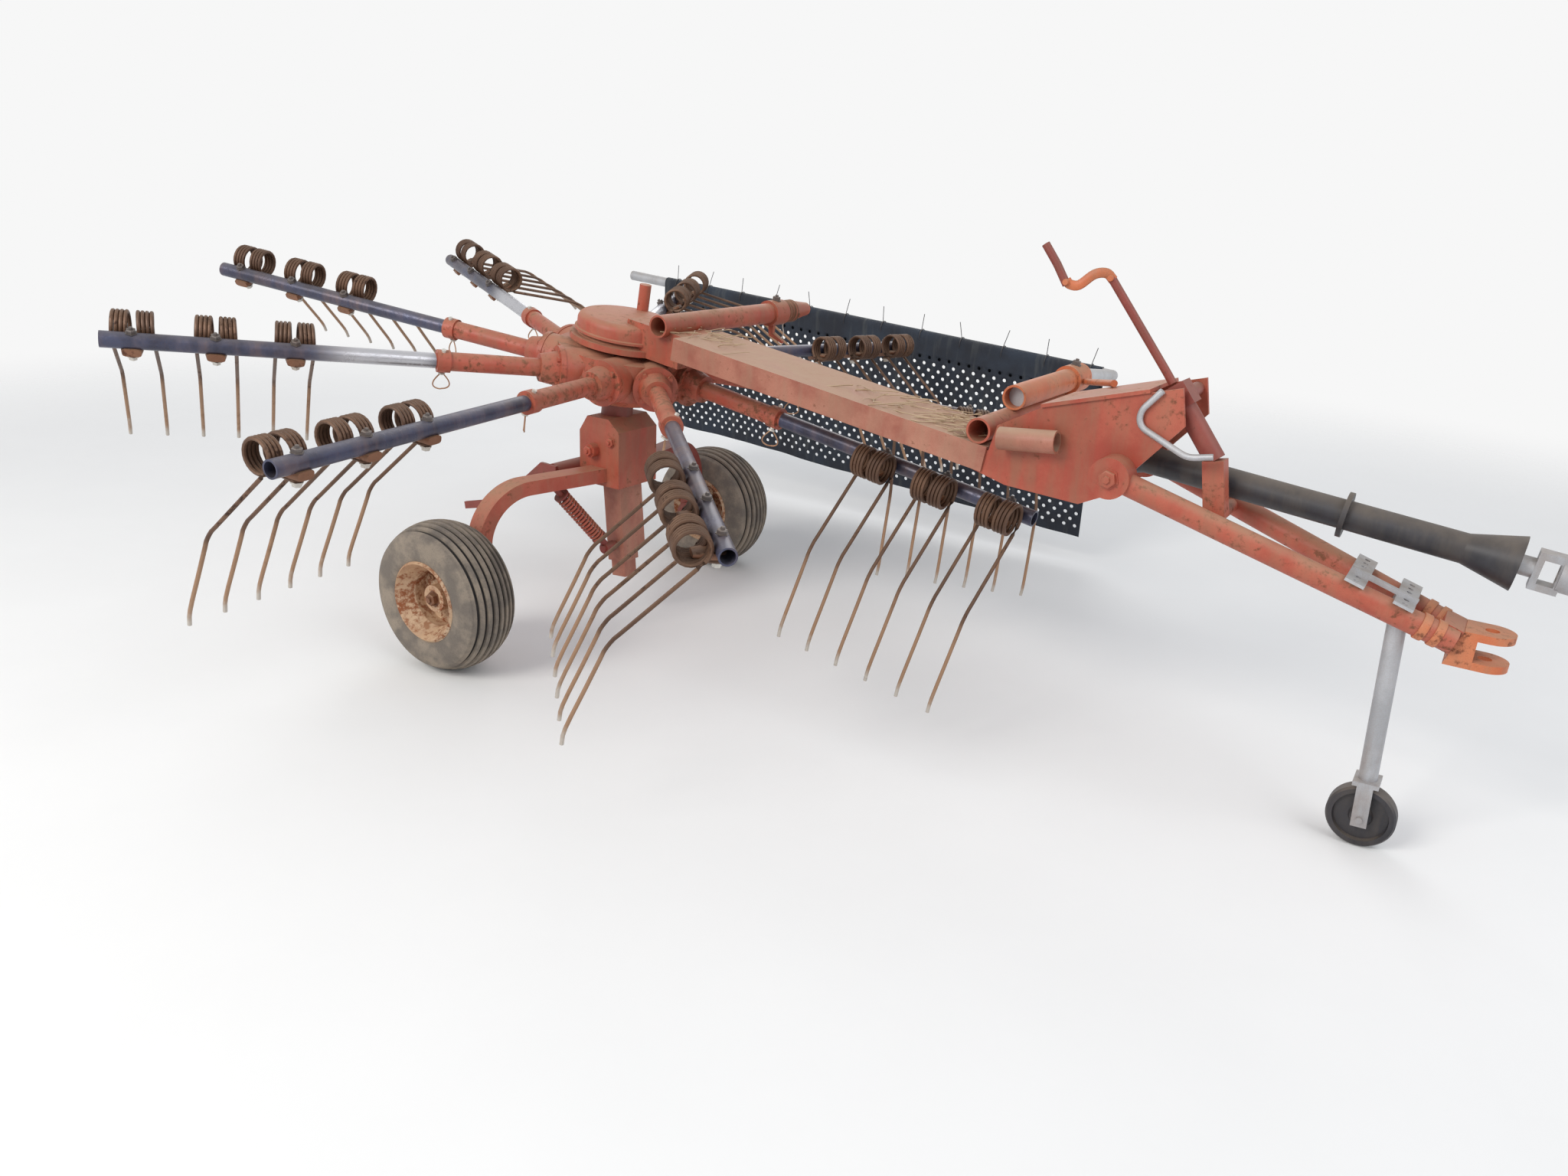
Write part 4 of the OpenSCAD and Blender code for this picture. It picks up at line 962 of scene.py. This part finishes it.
def cover_dome():
    """Pressed dome that closes the hub: a rim, a quarter of an ellipse as shoulder and a slight crown."""
    quarter = np.linspace(0, math.pi / 2, 9)
    shoulder = zip(117 + 24 * np.cos(quarter), 124 + 22 * np.sin(quarter))
    section = [(147.0, 97.0), (147.0, 103.0), (141.0, 105.5), *shoulder, (80.0, 149.0), (40.0, 151.0),
               (6.0, 151.8)]
    points, faces = lathe(section, (0.0, 0.0, 0.0), UPWARDS, 72, closed=False)
    parts = [(on_head(points), faces, 0, 0.0)]
    return make_piece("cover_dome", parts, [MATERIALS["red"]], "chassis")


cover_dome()


# Bent rods at the head

def grab_handle():
    """The bright bent rod beside the head that carries the guard when the driveline is off."""
    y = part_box("driveline_hook")[0][1] / MM + CENTRE[1] + 7.0
    path = rounded_path([(1566, y, 930), (1526, y, 881), (1530, y, 850), (1638, y, 800),
                         (1688, y + 6, 809)], 17)
    parts = [(*sweep(path, ALONG_Y, 7.0, 16), 0, 0.0)]
    return make_piece("guard_rest", parts, [MATERIALS["zinc"]], "chassis", ["driveline_hook"])


CRANK_ROD_RADIUS = 9.0
CRANK_BOSS = [(0.3, -12), (6.0, -12), (7.0, -10.5), (7.0, 10.5), (6.0, 12), (0.3, 12)]


def crank():
    """Height crank: a rod up from its block, a flat bent strap between two pins, and a grip rod."""
    axis = unit(CRANK_BLOCK - np.array([1682.0, -50, 793]))
    elbow, pin = np.array([1415.0, -80, 1143]), np.array([1326.0, -100, 1128])
    start = CRANK_BLOCK + axis * 31
    rod = rounded_path([start, start + axis * 30, elbow], 12)
    strap = smooth_path([elbow + [4, 0, -4], (1404, -84, 1152), (1380, -90, 1148), (1352, -96, 1124),
                         (1332, -99, 1124), pin + [-2, 0, 4]], 5)
    grip = rounded_path([pin + [0, 0, -6], (1300, -102, 1163), (1270, -104, 1202)], 8)
    parts = [(*sweep(rod, ALONG_Y, CRANK_ROD_RADIUS, 14), 0, 0.0),
             (*sweep(strap, ALONG_Y, 10.5, 12, flat=0.5), 1, 0.0),
             (*sweep(grip, ALONG_Y, CRANK_ROD_RADIUS, 14), 0, 0.0)]
    for at in (elbow, pin):
        parts.append((*lathe(CRANK_BOSS, at, ALONG_Y, 14, closed=False), 1, 0.0))
    return make_piece("bent_crank", parts, [MATERIALS["dark"], MATERIALS["orange"]], "chassis",
                      ["height_crank"])


grab_handle()
crank()


# Small fittings of the frame

DRAWBAR_COLLAR = [(24.0, -8), (27.6, -8), (28.6, -6.5), (28.6, 6.5), (27.6, 8), (24.0, 8)]
LATCH_TURNS = 6
LATCH_SPRING_RADIUS = 31.5


def frame_nut(at, axis, across, height):
    """A washer, a six-sided nut and its bolt's end; the radius is the width across flats over root three."""
    r = across / math.sqrt(3)
    profile = [(0.3, -1.0), (r * 1.25, -1.0), (r * 1.25, 2.0), (r, 2.1), (r, height - 1.5),
               (r * 0.88, height), (r * 0.45, height), (r * 0.42, height + 5), (0.3, height + 5.5)]
    return lathe(profile, at, axis, 6, closed=False)


def latch_spring():
    """Points and normals of the wire wound round the rear cross tube's tapered end: a helix along y."""
    t = np.linspace(0, 1, LATCH_TURNS * 24)
    phi = math.tau * LATCH_TURNS * t
    ring = np.column_stack([np.cos(phi), 0 * phi, np.sin(phi)])
    coil = REAR_CROSS_TUBE + [0, 502.0, 0] + ring * LATCH_SPRING_RADIUS + 60.0 * ALONG_Y * t[:, None]
    return on_head(coil), on_head(ring) - on_head([0.0, 0, 0])


def fittings():
    """Nuts, collars and wire where the frame is bolted: head pivot, mast block, latch, holder, drawbar."""
    parts = []
    pivot = on_head(PIVOT)
    head_up = on_head(UPWARDS) - on_head([0, 0, 0])
    for s in (-1, 1):
        outward = (0, s, 0)
        parts += [(*frame_nut(pivot + [0, s * 161.0, 0], outward, 34, 12), 1, 0.0),
                  (*frame_nut((-33.0, s * 108.6, 529.0), outward, 26, 10), 1, 0.0),
                  (*frame_nut((30.0, s * 85.0, 560.0), outward, 24, 10), 1, 0.0)]
    for at in ([186.0, 465.0, 210.5], [1156.0, 452.0, 287.5]):
        parts.append((*frame_nut(on_head(at), head_up, 20, 12), 0, 0.0))
    for s in (-1, 1):
        front = np.array([2190.0, s * 44.0, 513.0])
        along = unit(pivot + [0, s * 136.0, 0] - front)
        for back in (34.0, 62.0):
            parts.append((*lathe(DRAWBAR_COLLAR, front + along * back, along, 32), 2, 0.0))
    coil, normals = latch_spring()
    parts.append((*sweep(coil, normals, 3.2, 8), 3, 0.0))
    wire = smooth_path([(172, 566, 142), (160, 570, 118), (166, 574, 92), (158, 570, 66), (170, 566, 60),
                        (172, 574, 70)], 5)
    parts.append((*sweep(on_head(wire), ALONG_Y, 1.6, 6), 4, 0.0))
    coats = [MATERIALS[c] for c in ("nut", "red", "orange", "iron", "bolt")]
    return make_piece("frame_fittings", parts, coats, "chassis")


fittings()


STALKS = 110
STALKS_ON_BEAM = 84
BEAM_TOP = 160.0
BEAM_HALF = 104


def straw():
    """Loose straw on the beam, most of it towards the front cross tube.

    Each stalk is a short rod along a heading, with a curl that grows by the square of the distance from
    its middle.
    """
    seeds = np.random.default_rng(11)
    parts = []
    for i in range(STALKS):
        if i < STALKS_ON_BEAM:
            x = 1150 - abs(seeds.normal(0, 190))
            at = np.array([max(x, 300), seeds.uniform(-95, 95), BEAM_TOP + seeds.uniform(1, 7)])
        else:
            at = np.array([seeds.uniform(190, 420), seeds.uniform(-90, 90), BEAM_TOP + seeds.uniform(1, 5)])
        heading = seeds.normal(0.1, 0.7)
        length = seeds.uniform(35, 120)
        t = np.linspace(-0.5, 0.5, 6)
        curl = seeds.normal(0, 0.25)
        x = at[0] + length * t * math.cos(heading) - curl * length * t ** 2 * math.sin(heading)
        y = at[1] + length * t * math.sin(heading) + curl * length * t ** 2 * math.cos(heading)
        y = np.clip(y, -BEAM_HALF, BEAM_HALF)
        z = at[2] + seeds.uniform(0, 10) * (t + 0.5) + 4 * np.sin(3 * t)
        stalk = on_head(np.column_stack([x, y, z]))
        parts.append((*sweep(stalk, UPWARDS, seeds.uniform(0.8, 1.5), 4), 0, 0.0))
    return make_piece("loose_straw", parts, [MATERIALS["straw"]], "chassis", sharp=80)


straw()


# Floor, light and camera

def floor():
    """A pale flat ground, 14 m square and just under the wheels, that fades out away from the machine."""
    u = np.linspace(-7, 7, 29)
    x, y = np.meshgrid(u, u, indexing="ij")
    grid = np.stack([x, y, np.full(x.shape, -0.001)], axis=-1)
    mesh = bpy.data.meshes.new("floor")
    mesh.from_pydata(grid.reshape(-1, 3), [], flat_quads(*x.shape).tolist())
    material = bpy.data.materials.new("pale_floor")
    material.use_nodes = True
    kit = Nodes(material.node_tree)
    shader = material.node_tree.nodes["Principled BSDF"]
    where = kit.place()
    kit.put(shader, "Base Color", kit.mix(kit.noise(where, 3.0), srgb(240, 240, 238), srgb(244, 244, 242)))
    shader.inputs["Roughness"].default_value = 0.9
    # beyond the shadows the floor gives way to the white backdrop
    radius = kit.add("ShaderNodeVectorMath", operation="LENGTH")
    kit.put(radius, 0, where)
    kit.put(shader, "Alpha", kit.span(radius.outputs["Value"], 3.2, 6.5, 1.0, 0.0))
    mesh.materials.append(material)
    add_object("floor", mesh)


def aim_at(piece, forward, up):
    """Turns an object so that its -Z looks along forward, with the given side up."""
    right = unit(np.cross(forward, up))
    true_up = np.cross(right, forward)
    piece.rotation_euler = Matrix(np.column_stack([right, true_up, -forward]).tolist()).to_euler()


def area_light(name, place, size, power, colour=(1, 1, 1)):
    """A soft square lamp that looks at the machine's middle."""
    lamp = bpy.data.lights.new(name, "AREA")
    lamp.size = size
    lamp.energy = power
    lamp.color = colour
    piece = add_object(name, lamp)
    piece.location = place
    aim_at(piece, unit(np.array([0.0, 0.0, 0.5]) - place), UPWARDS)


floor()
area_light("key_light", (-1.5, -6.0, 4.5), 3.0, 300, (1.0, 0.97, 0.93))
area_light("fill_light", (5.0, -1.0, 4.0), 4.0, 110, (0.95, 0.97, 1.0))
area_light("back_light", (-3.0, 5.5, 4.0), 4.0, 110)

# The backdrop is seen white, and lights the machine with a weaker, bluer sky
world = bpy.data.worlds.new("studio")
world.use_nodes = True
bpy.context.scene.world = world
sky = Nodes(world.node_tree)
background = world.node_tree.nodes["Background"]
light_path = sky.add("ShaderNodeLightPath").outputs
seen = sky.math("MAXIMUM", light_path["Is Camera Ray"], light_path["Is Transmission Ray"])
seen = sky.math("MAXIMUM", seen, light_path["Is Glossy Ray"])
sky.put(background, "Color", sky.mix(seen, (0.9, 0.93, 1.0, 1), (0.93, 0.93, 0.93, 1)))
sky.put(background, "Strength", sky.span(seen, 0.0, 1.0, 0.52, 1.0))

# The camera stands where the photograph was taken, fitted from points of the wheels, arms and frame
PHOTO_WIDTH = 2048
F_PIXELS = 1485.8
PITCH = 0.3489
ROLL = 0.0548
HEADING = -0.5608
CAMERA_AT = (2184.0, -2533.0, 1314.0)
SENSOR_WIDTH = 36.0
camera = bpy.data.cameras.new("camera")
camera.sensor_width = SENSOR_WIDTH
camera.lens = SENSOR_WIDTH * F_PIXELS / PHOTO_WIDTH
camera.clip_end = 100
camera_piece = add_object("camera", camera)
camera_piece.location = on_machine(CAMERA_AT)
look = np.array([math.sin(HEADING) * math.cos(PITCH), math.cos(HEADING) * math.cos(PITCH), -math.sin(PITCH)])
level = np.array([math.cos(HEADING), -math.sin(HEADING), 0.0])
down = np.cross(look, level)
aim_at(camera_piece, look, -(math.sin(ROLL) * level + math.cos(ROLL) * down))
bpy.context.scene.camera = camera_piece
bpy.context.scene.view_settings.view_transform = "Standard"
